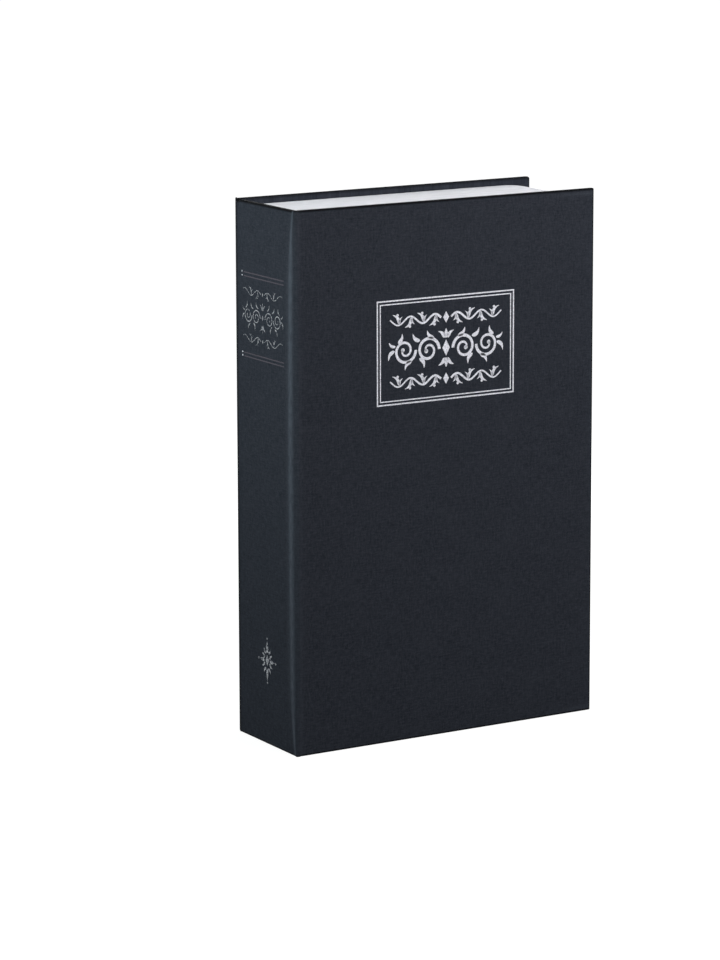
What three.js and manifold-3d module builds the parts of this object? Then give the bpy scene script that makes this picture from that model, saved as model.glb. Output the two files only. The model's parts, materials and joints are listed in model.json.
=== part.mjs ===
// Book diversion safe: a hardback book case glued round a moulded page frame and a lockable steel box.
// Millimetres, +Z up. The book stands on its tail, its spine towards -X and its front cover facing -Y.
// The origin is under the middle of the book, on the surface that it stands on.
import * as THREE from "three";
import { mergeVertices } from "three/addons/utils/BufferGeometryUtils.js";
import Module from "manifold-3d";

const wasm = await Module();
wasm.setup();

// Driving dimensions of the whole book
const bookWidth = 155;
const bookThickness = 55;
const bookHeight = 240;

// Book case: boards wrapped in cloth, lined with paper
const boardGauge = 2.2;
const boardCornerRadius = 1.4;
const boardEdgeRound = 0.7;
const clothGauge = 0.4;
const clothTurnIn = 15;
const linerGauge = 0.25;
const linerMargin = 3;
const glueLine = 0.05;
const jointAcross = 2.4;
const jointAlong = 4.7;
const jointSwellShare = 0.45;
const panelSeam = 0.15;

// Moulded page frame
const headSquare = 3;
const foreSquare = 8;
const pageCornerRadius = 7;
const pageOutlineRadius = 1.5;
const pageWall = 2;
const pageRib = 1.2;
const pageRibPitch = 34;
const leafPitch = 1.6;
const leafLandShare = 0.7;
const leafGroove = 0.2;

// Steel box and its lid
const sheetGauge = 0.8;
const trayCornerRadius = 2.4;
const spineClearance = 1.6;
const coverClearance = 0.3;
const lidClearance = 0.8;
const skirtClearance = 0.4;
const skirtDepth = 6;
const rimClearance = 0.3;
const hemDepth = 4;

// Lid hinge
const pinRadius = 1.25;
const pinClearance = 0.15;
const pinHeadRadius = 1.9;
const pinHeadDepth = 0.8;
const knuckleCount = 5;
const knuckleGap = 0.5;
const hingeEndGap = 3;
const curlSweepDegrees = 255;

// Rivets that hold the box to the back board
const rivetShankRadius = 1.6;
const rivetHeadRadius = 3.2;
const rivetHeadDepth = 1.2;
const rivetTailRadius = 2.6;
const rivetTailDepth = 0.7;
const rivetHoleClearance = 0.15;
const rivetInset = 18;

// Cam lock
const lockFaceRadius = 9;
const lockFaceDepth = 1.6;
const lockFaceChamfer = 0.5;
const lockFaceSink = 0.4;
const lockBodyRadius = 6;
const lockFlatDepth = 0.6;
const lockFit = 0.15;
const lockNutAcross = 16;
const lockNutDepth = 3;
const plugRadius = 4;
const plugRimRadius = 4.9;
const plugRimDepth = 1;
const plugTailSide = 5;
const keywayWidth = 2.2;
const keywayHeight = 5.8;
const plugFloor = 2.4;
const waferCount = 5;
const waferGauge = 0.8;
const waferPitch = 2;
const waferWidth = 5.2;
const waferFit = 0.1;
const waferChannelDepth = 0.9;
const stopGauge = 1;
const stopTabHalfDegrees = 25;
const stopSlackDegrees = 2;
const camGauge = 1.5;
const camWidth = 9;
const camReach = 20;
const camTipClearance = 2;
const camScrewHeadRadius = 3.5;
const camScrewHeadDepth = 2.2;
const camScrewShankRadius = 1.5;
const camScrewSlotWidth = 0.8;
const keeperLap = 6;
const keeperGauge = 1.2;
const keeperWidth = 16;
const keeperLeg = 10;
const keeperClearance = 0.4;
const lockTurnDegrees = 90;

// Keys kept in the box
const keyGauge = 1.8;
const keyBowRadius = 9.5;
const keyHoleRadius = 2;
const keyBladeLength = 24;
const keyBladeHeight = 5.4;
const keyGrooveDepth = 0.5;
const keyGrooveWidth = 1.2;
const keyPlay = 1;
const keyLeanDegrees = 8;

// Overrun of a cutter past the faces that it cuts
const overrun = 2;

// Shares and counts that shape the curves
const windowOffsetShares = [0.35, -0.2, 0.1, -0.35, 0.2];
const keyCutShares = [0.3, 0.12, 0.24, 0.4, 0.16];
const jointSteps = 6;
const cornerSteps = 4;
const edgeSteps = 3;
const roundSteps = 32;
const smallRoundSteps = 20;
const leafCornerSteps = 4;
const curlSteps = 9;

const right = Math.PI / 2;
const fullTurn = right * 4;
const halfTurnDegrees = 180;
const radians = THREE.MathUtils.degToRad;

// Materials
const paint = (color, roughness, metalness = 0) =>
  new THREE.MeshStandardMaterial({ color, roughness, metalness });
const bookCloth = paint(0x272a31, 0.75);
const greyBoard = paint(0x8d867a, 0.95);
const linerPaper = paint(0x24262b, 0.85);
const pagePlastic = paint(0xd8dadd, 0.6);
const boxPaint = paint(0x1b1c1f, 0.45, 0.2);
const plainSteel = paint(0xb7b9bb, 0.35, 1);
const lockChrome = paint(0xd2d4d6, 0.15, 1);
const plugBrass = paint(0xc7a55b, 0.3, 1);

// Planes that the pieces share
const halfWidth = bookWidth / 2;
const halfThickness = bookThickness / 2;
const spineFaceX = -halfWidth;
const frontFaceY = -halfThickness;
const backFaceY = halfThickness;
const skin = clothGauge + glueLine;
const caseDepth = skin + boardGauge + skin;
const linedDepth = caseDepth + glueLine + linerGauge;
const clothEdgeRound = Math.min(boardEdgeRound, boardGauge / 2 - glueLine) + skin;
const clothCornerRadius = boardCornerRadius + skin;

const frameX0 = spineFaceX + linedDepth + glueLine;
const frameX1 = halfWidth - foreSquare;
const frameY0 = frontFaceY + linedDepth + coverClearance;
const frameY1 = backFaceY - linedDepth - glueLine;
const frameZ0 = headSquare;
const frameZ1 = bookHeight - headSquare;
const sideBand = pageWall * 4;
const foreBand = pageCornerRadius + pageWall * 3;
const pocketX1 = frameX1 - foreBand;
const pocketZ0 = frameZ0 + sideBand;
const pocketZ1 = frameZ1 - sideBand;

const lidY0 = frameY0 + lockFaceDepth + lockFaceSink;
const lidY1 = lidY0 + sheetGauge;
const lidX1 = pocketX1 - lidClearance;
const lidZ0 = pocketZ0 + lidClearance;
const lidZ1 = pocketZ1 - lidClearance;
const trayInset = sheetGauge + skirtClearance;
const trayX0 = frameX0 + spineClearance;
const trayX1 = lidX1 - trayInset;
const trayZ0 = lidZ0 + trayInset;
const trayZ1 = lidZ1 - trayInset;
const trayY0 = lidY1 + rimClearance;
const trayY1 = frameY1;
const floorY = trayY1 - sheetGauge;

const bossRadius = pinRadius + pinClearance;
const barrelRadius = bossRadius + sheetGauge;
const hingeX = trayX0 + barrelRadius;
const hingeY = lidY0 + barrelRadius;
const hingeZ0 = trayZ0 + hingeEndGap;
const hingeZ1 = trayZ1 - hingeEndGap;
const knucklePitch = (hingeZ1 - hingeZ0 + knuckleGap) / knuckleCount;
const reliefX = hingeX + barrelRadius + knuckleGap;
const reliefY = hingeY + barrelRadius + knuckleGap;

const lockX = trayX1 - sheetGauge - camTipClearance - camReach;
const lockZ = bookHeight / 2;
const lockBodyLength = lockFaceDepth + waferPitch * waferCount + plugFloor;
const bodyEndY = lidY0 + lockBodyLength;
const stopY0 = bodyEndY + lockFit;
const camY0 = stopY0 + stopGauge + lockFit;
const camY1 = camY0 + camGauge;
const camScrewEndY = bodyEndY - plugFloor / 2;
const keeperY1 = camY0 - keeperClearance;
const plugBoreRadius = plugRadius + lockFit;
const stopHubRadius = (plugRadius + lockBodyRadius) / 2 - lockFit;
const stopRimRadius = lockBodyRadius - lockFit;

// Turns a closed three.js geometry into a solid whose faces point out
function solid(geometry) {
  const bare = geometry.clone();
  for (const name of Object.keys(bare.attributes)) {
    if (name !== "position") bare.deleteAttribute(name);
  }
  const merged = mergeVertices(bare);
  const index = merged.index.array;
  const kept = [];
  for (let i = 0; i < index.length; i += 3) {
    const [a, b, c] = [index[i], index[i + 1], index[i + 2]];
    if (a !== b && b !== c && c !== a) kept.push(a, b, c);
  }
  const make = (triangles) =>
    new wasm.Manifold(
      new wasm.Mesh({
        numProp: 3,
        vertProperties: merged.attributes.position.array,
        triVerts: new Uint32Array(triangles),
      }),
    );
  const made = make(kept);
  if (made.volume() > 0) return made;
  const turned = [];
  for (let i = 0; i < kept.length; i += 3) turned.push(kept[i], kept[i + 2], kept[i + 1]);
  return make(turned);
}

const join = (first, ...rest) => rest.reduce((sum, next) => sum.add(next), first);
const cut = (first, ...rest) => rest.reduce((left, next) => left.subtract(next), first);

// A box between two opposite corners
function block(x0, x1, y0, y1, z0, z1) {
  const box = new THREE.BoxGeometry(x1 - x0, y1 - y0, z1 - z0);
  return solid(box.translate((x0 + x1) / 2, (y0 + y1) / 2, (z0 + z1) / 2));
}

// A shape drawn in X and Z, given a depth along Y
function plateXZ(shape, y0, y1, curveSegments = cornerSteps) {
  const options = { depth: y1 - y0, bevelEnabled: false, curveSegments };
  return solid(new THREE.ExtrudeGeometry(shape, options).rotateX(right).translate(0, y1, 0));
}

// A shape drawn in X and Y, given a height along Z
function prismXY(shape, z0, z1, curveSegments = cornerSteps) {
  const options = { depth: z1 - z0, bevelEnabled: false, curveSegments };
  return solid(new THREE.ExtrudeGeometry(shape, options).translate(0, 0, z0));
}

// A closed ring of radius and depth pairs turned about the lock's axis
function turnedOnLock(points, steps = roundSteps) {
  const profile = points.map(([radius, y]) => new THREE.Vector2(radius, y));
  if (points[0][0] > 0) profile.push(profile[0].clone());
  return solid(new THREE.LatheGeometry(profile, steps).translate(lockX, 0, lockZ));
}

// A round bar along Y
function rodY(x, z, radius, y0, y1, steps = roundSteps) {
  const rod = new THREE.CylinderGeometry(radius, radius, y1 - y0, steps);
  return solid(rod.translate(x, (y0 + y1) / 2, z));
}

// A rectangle whose corners are rounded at its high-u side, and at its low-u side too if asked
function roundedOutline(u0, u1, v0, v1, radius, lowSideToo = false) {
  const low = lowSideToo ? radius : 0;
  const outline = new THREE.Shape();
  outline.moveTo(u0 + low, v0);
  outline.lineTo(u1 - radius, v0);
  outline.absarc(u1 - radius, v0 + radius, radius, -right, 0, false);
  outline.lineTo(u1, v1 - radius);
  outline.absarc(u1 - radius, v1 - radius, radius, 0, right, false);
  outline.lineTo(u0 + low, v1);
  if (lowSideToo) {
    outline.absarc(u0 + low, v1 - low, low, right, 2 * right, false);
    outline.lineTo(u0, v0 + low);
    outline.absarc(u0 + low, v0 + low, low, 2 * right, 3 * right, false);
  }
  return outline;
}

// The book case. A panel lies in its own frame: u along it, v up it, and d in from its outer face.
const frontPanel = {
  u0: spineFaceX + jointAcross,
  u1: halfWidth,
  foreEdge: true,
  place: new THREE.Matrix4().set(1, 0, 0, 0, 0, 0, 1, frontFaceY, 0, 1, 0, 0, 0, 0, 0, 1),
};
const backPanel = {
  ...frontPanel,
  place: new THREE.Matrix4().set(1, 0, 0, 0, 0, 0, -1, backFaceY, 0, 1, 0, 0, 0, 0, 0, 1),
};
const spinePanel = {
  u0: frontFaceY + jointAlong,
  u1: backFaceY - jointAlong,
  foreEdge: false,
  place: new THREE.Matrix4().set(0, 0, 1, spineFaceX, 1, 0, 0, 0, 0, 1, 0, 0, 0, 0, 0, 1),
};

// A slab of a panel, drawn in by an inset on its wrapped sides and square at its joints
function panelSlab(panel, inset, d0, d1, edgeRound = 0) {
  const v0 = inset;
  const v1 = bookHeight - inset;
  const radius = panel.foreEdge ? clothCornerRadius - inset : 0;
  const low = panel.u0 - overrun;
  const high = panel.foreEdge ? panel.u1 - inset : panel.u1 + overrun;
  const options = { depth: d1 - d0, bevelEnabled: false, curveSegments: cornerSteps };
  if (edgeRound > 0) {
    options.bevelEnabled = true;
    options.depth = d1 - d0 - edgeRound * 2;
    options.bevelThickness = edgeRound;
    options.bevelSize = edgeRound;
    options.bevelOffset = -edgeRound;
    options.bevelSegments = edgeSteps;
  }
  const shape = radius > 0 ? roundedOutline(low, high, v0, v1, radius) : rectangle(low, high, v0, v1);
  const slab = new THREE.ExtrudeGeometry(shape, options);
  const whole = solid(slab.translate(0, 0, d0 + edgeRound).applyMatrix4(panel.place));
  const past = [v0 - overrun, v1 + overrun, d0 - overrun, d1 + overrun];
  const trims = [panelBlock(panel, low - overrun, panel.u0, ...past)];
  if (!panel.foreEdge) trims.push(panelBlock(panel, panel.u1, high + overrun, ...past));
  return cut(whole, ...trims);
}

function rectangle(u0, u1, v0, v1) {
  const outline = new THREE.Shape();
  outline.moveTo(u0, v0);
  outline.lineTo(u1, v0);
  outline.lineTo(u1, v1);
  outline.lineTo(u0, v1);
  return outline;
}

function panelBlock(panel, u0, u1, v0, v1, d0, d1) {
  const box = new THREE.BoxGeometry(u1 - u0, v1 - v0, d1 - d0);
  box.translate((u0 + u1) / 2, (v0 + v1) / 2, (d0 + d1) / 2);
  return solid(box.applyMatrix4(panel.place));
}

// The board inside a panel
function boardOf(panel) {
  const round = clothEdgeRound - skin;
  return panelSlab(panel, skin, skin, skin + boardGauge, round);
}

// The opening between a panel's turned-in cloth, from a depth inwards
function clothWindow(panel, gap, d0) {
  const inset = clothTurnIn + gap;
  const u0 = panel.u0 - overrun;
  const u1 = panel.foreEdge ? panel.u1 - inset : panel.u1 + overrun;
  return panelBlock(panel, u0, u1, inset, bookHeight - inset, d0, caseDepth + overrun);
}

// The cloth round a panel: outer face, three edges and the turned-in margins
function clothOf(panel) {
  const outer = panelSlab(panel, 0, 0, caseDepth, clothEdgeRound);
  const innerRound = clothEdgeRound - clothGauge;
  const hollow = panelSlab(panel, clothGauge, clothGauge, caseDepth - clothGauge, innerRound);
  return cut(outer, hollow, clothWindow(panel, 0, skin + boardGauge / 2));
}

// The paper that lines a panel: it fills the window in the cloth and laps over the turned-in margins
function linerOf(panel) {
  const lapped = panelSlab(panel, linerMargin + skin, caseDepth + glueLine, linedDepth);
  const infill = panelSlab(panel, linerMargin + skin, skin + boardGauge + glueLine, linedDepth);
  const seated = infill.intersect(clothWindow(panel, glueLine, skin + boardGauge));
  return join(lapped, seated);
}

// The strip of cloth that bridges a joint, mirrored for the back; the lap joins it to the cover's cloth
function jointStrip(side, lap) {
  const spineEnd = new THREE.Vector2(spineFaceX, jointAlong - halfThickness);
  const coverEnd = new THREE.Vector2(spineFaceX + jointAcross, -halfThickness);
  const corner = new THREE.Vector2(spineFaceX, -halfThickness);
  const middle = spineEnd.clone().lerp(coverEnd, 1 / 2);
  const pull = middle.lerp(corner, jointSwellShare);
  const curve = new THREE.QuadraticBezierCurve(spineEnd, pull, coverEnd);
  const outerLine = curve.getPoints(jointSteps);
  const innerLine = outerLine.map((point, step) => {
    const along = curve.getTangent(step / jointSteps);
    return new THREE.Vector2(point.x - along.y * clothGauge, point.y + along.x * clothGauge);
  });
  const lapEnd = [
    new THREE.Vector2(coverEnd.x + overrun, coverEnd.y),
    new THREE.Vector2(coverEnd.x + overrun, coverEnd.y + clothGauge),
  ];
  const outline = new THREE.Shape([...outerLine, ...lapEnd, ...innerLine.reverse()]);
  const strip = prismXY(outline, 0, bookHeight);
  const reach = bookThickness;
  const beyondX = spineFaceX + reach;
  const tall = [-overrun, bookHeight + overrun];
  const pastSpine = spineEnd.y - panelSeam;
  const pastCover = lap > 0 ? coverEnd.x + lap : coverEnd.x - panelSeam;
  const trimmed = cut(
    strip,
    block(spineFaceX - reach, beyondX, pastSpine, reach, ...tall),
    block(pastCover, beyondX, -reach, reach, ...tall),
    block(coverEnd.x - glueLine, beyondX, coverEnd.y + clothGauge, reach, ...tall),
  );
  return side > 0 ? solid(meshGeometry(trimmed).scale(1, -1, 1)) : trimmed;
}

// The moulded page frame. Its outside is a stack of leaf outlines.
// The fore edge is rounded towards the covers.
function foreSetback(y, radius, y0, y1) {
  const past = Math.max(0, Math.abs(y - (y0 + y1) / 2) - ((y1 - y0) / 2 - radius));
  return radius - Math.sqrt(Math.max(0, radius * radius - past * past));
}

function leafOutline(y, inset) {
  const x0 = frameX0 + inset;
  const x1 = frameX1 - inset - foreSetback(y, pageCornerRadius, frameY0, frameY1);
  const z0 = frameZ0 + inset;
  const z1 = frameZ1 - inset;
  const points = [new THREE.Vector3(x0, y, z0)];
  for (const [z, from] of [[z0 + pageOutlineRadius, -right], [z1 - pageOutlineRadius, 0]]) {
    for (let step = 0; step <= leafCornerSteps; step += 1) {
      const angle = from + (right * step) / leafCornerSteps;
      const x = x1 - pageOutlineRadius + pageOutlineRadius * Math.cos(angle);
      points.push(new THREE.Vector3(x, y, z + pageOutlineRadius * Math.sin(angle)));
    }
  }
  points.push(new THREE.Vector3(x0, y, z1));
  return points;
}

// A closed skin through outlines of equal length, capped at both ends
function loft(rings) {
  const count = rings[0].length;
  const positions = rings.flat().flatMap((point) => [point.x, point.y, point.z]);
  const index = [];
  for (let ring = 0; ring + 1 < rings.length; ring += 1) {
    for (let step = 0; step < count; step += 1) {
      const next = (step + 1) % count;
      const a = ring * count + step;
      const b = ring * count + next;
      index.push(a, b, b + count, a, b + count, a + count);
    }
  }
  const top = (rings.length - 1) * count;
  for (let step = 1; step + 1 < count; step += 1) {
    index.push(0, step + 1, step);
    index.push(top, top + step, top + step + 1);
  }
  const geometry = new THREE.BufferGeometry();
  geometry.setAttribute("position", new THREE.Float32BufferAttribute(positions, 3));
  geometry.setIndex(index);
  return solid(geometry);
}

function pageFrame() {
  const leaves = Math.max(2, Math.round((frameY1 - frameY0) / leafPitch));
  const pitch = (frameY1 - frameY0) / leaves;
  const land = pitch * leafLandShare;
  const rings = [];
  for (let leaf = 0; leaf < leaves; leaf += 1) {
    const y = frameY0 + leaf * pitch;
    rings.push(leafOutline(y, 0), leafOutline(y + land, 0));
    if (leaf + 1 < leaves) rings.push(leafOutline(y + (land + pitch) / 2, leafGroove));
  }
  rings.push(leafOutline(frameY1, 0));
  const outside = loft(rings);

  const channelRings = [];
  const channelY0 = frameY0 + pageWall;
  for (let step = 0; step <= roundSteps; step += 1) {
    const y = THREE.MathUtils.lerp(channelY0, frameY1, step / roundSteps);
    channelRings.push(leafOutline(y, pageWall));
  }
  channelRings.push(leafOutline(frameY1, pageWall).map((point) => point.setY(frameY1 + overrun)));
  const wallX1 = pocketX1 + pageWall;
  const wallZ0 = pocketZ0 - pageWall;
  const wallZ1 = pocketZ1 + pageWall;
  const beyond = frameY1 + overrun * 2;
  const pocketWall = block(frameX0 - overrun, wallX1, frameY0 - overrun, beyond, wallZ0, wallZ1);
  const channel = cut(loft(channelRings), pocketWall, ...ribs(wallX1, wallZ0, wallZ1));
  const pocketLow = frameX0 - overrun;
  const pocket = block(pocketLow, pocketX1, frameY0 - overrun, beyond, pocketZ0, pocketZ1);
  return cut(outside, channel, pocket);
}

// Cross ribs that stiffen the channel behind the page edges
function ribs(wallX1, wallZ0, wallZ1) {
  const made = [];
  const half = pageRib / 2;
  const deep = [frameY0, frameY1 + overrun * 2];
  const alongX = Math.max(1, Math.floor((wallX1 - frameX0) / pageRibPitch));
  for (let rib = 1; rib <= alongX; rib += 1) {
    const x = THREE.MathUtils.lerp(frameX0, wallX1, rib / (alongX + 1));
    made.push(block(x - half, x + half, ...deep, frameZ0, wallZ0 + pageWall / 2));
    made.push(block(x - half, x + half, ...deep, wallZ1 - pageWall / 2, frameZ1));
  }
  const alongZ = Math.max(1, Math.floor((wallZ1 - wallZ0) / pageRibPitch));
  for (let rib = 1; rib <= alongZ; rib += 1) {
    const z = THREE.MathUtils.lerp(wallZ0, wallZ1, rib / (alongZ + 1));
    made.push(block(wallX1 - pageWall / 2, frameX1, ...deep, z - half, z + half));
  }
  return made;
}

// Where each hinge knuckle lies: even ones belong to the box, odd ones to the lid
function knuckles(odd) {
  const made = [];
  for (let place = odd ? 1 : 0; place < knuckleCount; place += 2) {
    const z0 = hingeZ0 + place * knucklePitch;
    made.push([z0, z0 + knucklePitch - knuckleGap]);
  }
  return made;
}

// Sheet rolled round the pin, from one angle to another seen from the head of the book.
// The box's knuckles start at its spine wall, the lid's at the lid plate.
const trayCurlStart = 180;
const lidCurlStart = 270;

function curl(fromDegrees, toDegrees, z0, z1) {
  const shape = new THREE.Shape();
  const from = radians(fromDegrees);
  const to = radians(toDegrees);
  const clockwise = to < from;
  shape.absarc(hingeX, hingeY, barrelRadius, from, to, clockwise);
  shape.absarc(hingeX, hingeY, bossRadius, to, from, !clockwise);
  return prismXY(shape, z0, z1, curlSteps);
}

function rivetPlaces() {
  const places = [];
  for (const x of [trayX0 + rivetInset, trayX1 - rivetInset]) {
    for (const z of [trayZ0 + rivetInset, trayZ1 - rivetInset]) places.push([x, z]);
  }
  return places;
}

const rivetHoles = () =>
  rivetPlaces().map(([x, z]) => {
    const radius = rivetShankRadius + rivetHoleClearance;
    return rodY(x, z, radius, floorY - overrun, backFaceY - clothGauge, smallRoundSteps);
  });

// The box: a folded sheet tray with a hemmed rim and rolled hinge knuckles
function boxTray() {
  const shell = (inset, y0, y1) => {
    const radius = Math.max(trayCornerRadius - inset, glueLine);
    const edges = [trayX0 + inset, trayX1 - inset, trayZ0 + inset, trayZ1 - inset];
    return plateXZ(roundedOutline(...edges, radius, true), y0, y1);
  };
  const outside = shell(0, trayY0, trayY1);
  const hemmed = sheetGauge * 2;
  const inside = shell(sheetGauge, trayY0 + hemDepth, floorY);
  const mouth = plateXZ(
    roundedOutline(
      trayX0 + sheetGauge,
      trayX1 - hemmed,
      trayZ0 + hemmed,
      trayZ1 - hemmed,
      Math.max(trayCornerRadius - hemmed, glueLine),
    ),
    trayY0 - overrun,
    trayY0 + hemDepth + overrun,
  );
  const [reliefZ0, reliefZ1] = [trayZ0 - overrun, trayZ1 + overrun];
  const relief = block(trayX0 - overrun, reliefX, trayY0 - overrun, reliefY, reliefZ0, reliefZ1);
  const rolled = knuckles(false).flatMap(([z0, z1]) => [
    block(trayX0, trayX0 + sheetGauge, hingeY - glueLine, reliefY + overrun, z0, z1),
    curl(trayCurlStart, trayCurlStart + curlSweepDegrees, z0, z1),
  ]);
  return join(cut(outside, inside, mouth, relief, ...rivetHoles()), ...rolled);
}

// The lid: a folded sheet plate with skirts on three sides and rolled hinge knuckles
function boxLid() {
  const radius = trayCornerRadius + trayInset;
  const hingeEdge = hingeX - glueLine;
  const skirtEnd = lidY0 + skirtDepth;
  const outside = plateXZ(roundedOutline(hingeEdge, lidX1, lidZ0, lidZ1, radius), lidY0, skirtEnd);
  const inside = plateXZ(
    roundedOutline(
      hingeX - overrun,
      lidX1 - sheetGauge,
      lidZ0 + sheetGauge,
      lidZ1 - sheetGauge,
      radius - sheetGauge,
    ),
    lidY1,
    skirtEnd + overrun,
  );
  const rolled = knuckles(true);
  const edges = [lidZ0 - overrun, ...rolled.flat(), lidZ1 + overrun];
  const notches = [];
  for (let place = 0; place < edges.length; place += 2) {
    const [z0, z1] = [edges[place], edges[place + 1]];
    notches.push(block(hingeX - overrun, reliefX, lidY0 - overrun, skirtEnd + overrun, z0, z1));
  }
  const curls = rolled.map(([z0, z1]) => curl(lidCurlStart, lidCurlStart - curlSweepDegrees, z0, z1));
  const bodyHole = lockBodySolid(lockFit, lidY0 - overrun, skirtEnd + overrun);
  return join(cut(outside, inside, ...notches, bodyHole), ...curls);
}

function hingePin() {
  const z0 = hingeZ0 - pinHeadDepth;
  const z1 = hingeZ1 + knuckleGap + pinHeadDepth;
  const rod = new THREE.CylinderGeometry(pinRadius, pinRadius, z1 - z0, smallRoundSteps);
  const head = new THREE.CylinderGeometry(pinRadius, pinHeadRadius, pinHeadDepth, smallRoundSteps);
  return join(
    solid(rod.rotateX(right).translate(hingeX, hingeY, (z0 + z1) / 2)),
    solid(head.rotateX(right).translate(hingeX, hingeY, z1 - pinHeadDepth / 2)),
  );
}

// A domed blind rivet through the tray's floor, the liner and the back board
function rivet(x, z) {
  const tailEnd = backFaceY - skin;
  const headY = floorY - rivetHeadDepth;
  const profile = [
    [0, headY],
    [rivetHeadRadius * Math.SQRT1_2, headY + rivetHeadDepth / 3],
    [rivetHeadRadius, floorY - glueLine],
    [rivetShankRadius, floorY - glueLine],
    [rivetShankRadius, tailEnd - rivetTailDepth],
    [rivetTailRadius, tailEnd - rivetTailDepth],
    [rivetTailRadius, tailEnd],
    [0, tailEnd],
  ].map(([radius, y]) => new THREE.Vector2(radius, y));
  return solid(new THREE.LatheGeometry(profile, smallRoundSteps).translate(x, 0, z));
}

const tailRecesses = () =>
  rivetPlaces().map(([x, z]) => {
    const radius = rivetTailRadius + rivetHoleClearance;
    const start = backFaceY - skin - rivetTailDepth - glueLine;
    return rodY(x, z, radius, start, backFaceY - clothGauge, smallRoundSteps);
  });

// The lock's threaded body with its two flats, grown by a fit for the hole that it passes
function lockBodySolid(fit, y0, y1) {
  const half = lockBodyRadius - lockFlatDepth + fit;
  const round = rodY(lockX, lockZ, lockBodyRadius + fit, y0, y1);
  const reach = lockBodyRadius + overrun;
  return round.intersect(block(lockX - half, lockX + half, y0, y1, lockZ - reach, lockZ + reach));
}

// A sector of a ring about the lock's axis, drawn in X and Z
function sector(innerRadius, outerRadius, fromDegrees, toDegrees) {
  const shape = new THREE.Shape();
  shape.absarc(lockX, lockZ, outerRadius, radians(fromDegrees), radians(toDegrees), false);
  shape.absarc(lockX, lockZ, innerRadius, radians(toDegrees), radians(fromDegrees), true);
  return shape;
}

// The tab of the stop washer points up while the cam hangs unlocked
const tabAtRest = halfTurnDegrees / 2;

function lockHousing() {
  const faceY = lidY0 - lockFaceDepth;
  const face = turnedOnLock([
    [plugBoreRadius, faceY],
    [lockFaceRadius - lockFaceChamfer, faceY],
    [lockFaceRadius, faceY + lockFaceChamfer],
    [lockFaceRadius, lidY0 - glueLine],
    [plugBoreRadius, lidY0 - glueLine],
  ]);
  const rimSeatEnd = faceY + plugRimDepth + lockFit;
  const rimSeat = rodY(lockX, lockZ, plugRimRadius + lockFit, faceY - overrun, rimSeatEnd);
  const bore = rodY(lockX, lockZ, plugBoreRadius, faceY - overrun, bodyEndY + overrun);
  const barrel = lockBodySolid(0, lidY0 - lockFaceDepth / 2, bodyEndY);
  const halfChannel = waferWidth / 2 + waferFit * 2;
  const channelReach = plugBoreRadius + waferChannelDepth;
  const channelY0 = faceY + plugRimDepth + lockFaceDepth;
  const channel = block(
    lockX - halfChannel,
    lockX + halfChannel,
    channelY0,
    bodyEndY - plugFloor,
    lockZ - channelReach,
    lockZ + channelReach,
  );
  const clear = stopTabHalfDegrees + stopSlackDegrees;
  const lugStart = tabAtRest + lockTurnDegrees + clear;
  const lugEnd = tabAtRest + halfTurnDegrees * 2 - clear;
  const lugShape = sector(stopHubRadius + lockFit * 2, lockBodyRadius, lugStart, lugEnd);
  const lug = plateXZ(lugShape, bodyEndY - lockFit, stopY0 + stopGauge, curlSteps);
  const flats = lockBodySolid(0, bodyEndY - lockFit, stopY0 + stopGauge);
  return cut(join(face, barrel, lug.intersect(flats)), bore, rimSeat, channel);
}

function lockNut() {
  const y0 = lidY1 + glueLine;
  const nut = new THREE.CylinderGeometry(lockNutAcross / 2, lockNutAcross / 2, lockNutDepth, 6);
  const corner = 1 / Math.cos(right / 3);
  const hexagon = solid(nut.scale(corner, 1, corner).translate(lockX, y0 + lockNutDepth / 2, lockZ));
  const bore = rodY(lockX, lockZ, lockBodyRadius + lockFit, y0 - overrun, y0 + lockNutDepth + overrun);
  return cut(hexagon, bore);
}

const waferY = (place) => lidY0 + lockFaceDepth + waferPitch * place;

function lockPlug() {
  const faceY = lidY0 - lockFaceDepth;
  const turned = turnedOnLock([
    [0, faceY],
    [plugRimRadius, faceY],
    [plugRimRadius, faceY + plugRimDepth],
    [plugRadius, faceY + plugRimDepth],
    [plugRadius, bodyEndY],
    [0, bodyEndY],
  ]);
  const half = plugTailSide / 2;
  const tailEnd = camY1 - glueLine;
  const tailStart = bodyEndY - plugFloor;
  const tail = block(lockX - half, lockX + half, tailStart, tailEnd, lockZ - half, lockZ + half);
  const keywayEnd = waferY(waferCount - 1) + waferGauge + waferFit;
  const halfKey = keywayWidth / 2;
  const tall = keywayHeight / 2;
  const keywayStart = faceY - overrun;
  const [keywayX0, keywayX1] = [lockX - halfKey, lockX + halfKey];
  const keyway = block(keywayX0, keywayX1, keywayStart, keywayEnd, lockZ - tall, lockZ + tall);
  const slots = [];
  const halfSlot = waferWidth / 2 + waferFit;
  const reach = plugRadius + overrun;
  for (let place = 0; place < waferCount; place += 1) {
    const y0 = waferY(place) - waferFit;
    const y1 = waferY(place) + waferGauge + waferFit;
    slots.push(block(lockX - halfSlot, lockX + halfSlot, y0, y1, lockZ - reach, lockZ + reach));
  }
  const screwRadius = camScrewShankRadius + waferFit;
  const screwStart = camScrewEndY - waferFit;
  const screwHole = rodY(lockX, lockZ, screwRadius, screwStart, tailEnd + overrun, smallRoundSteps);
  return cut(join(turned, tail), keyway, ...slots, screwHole);
}

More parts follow.
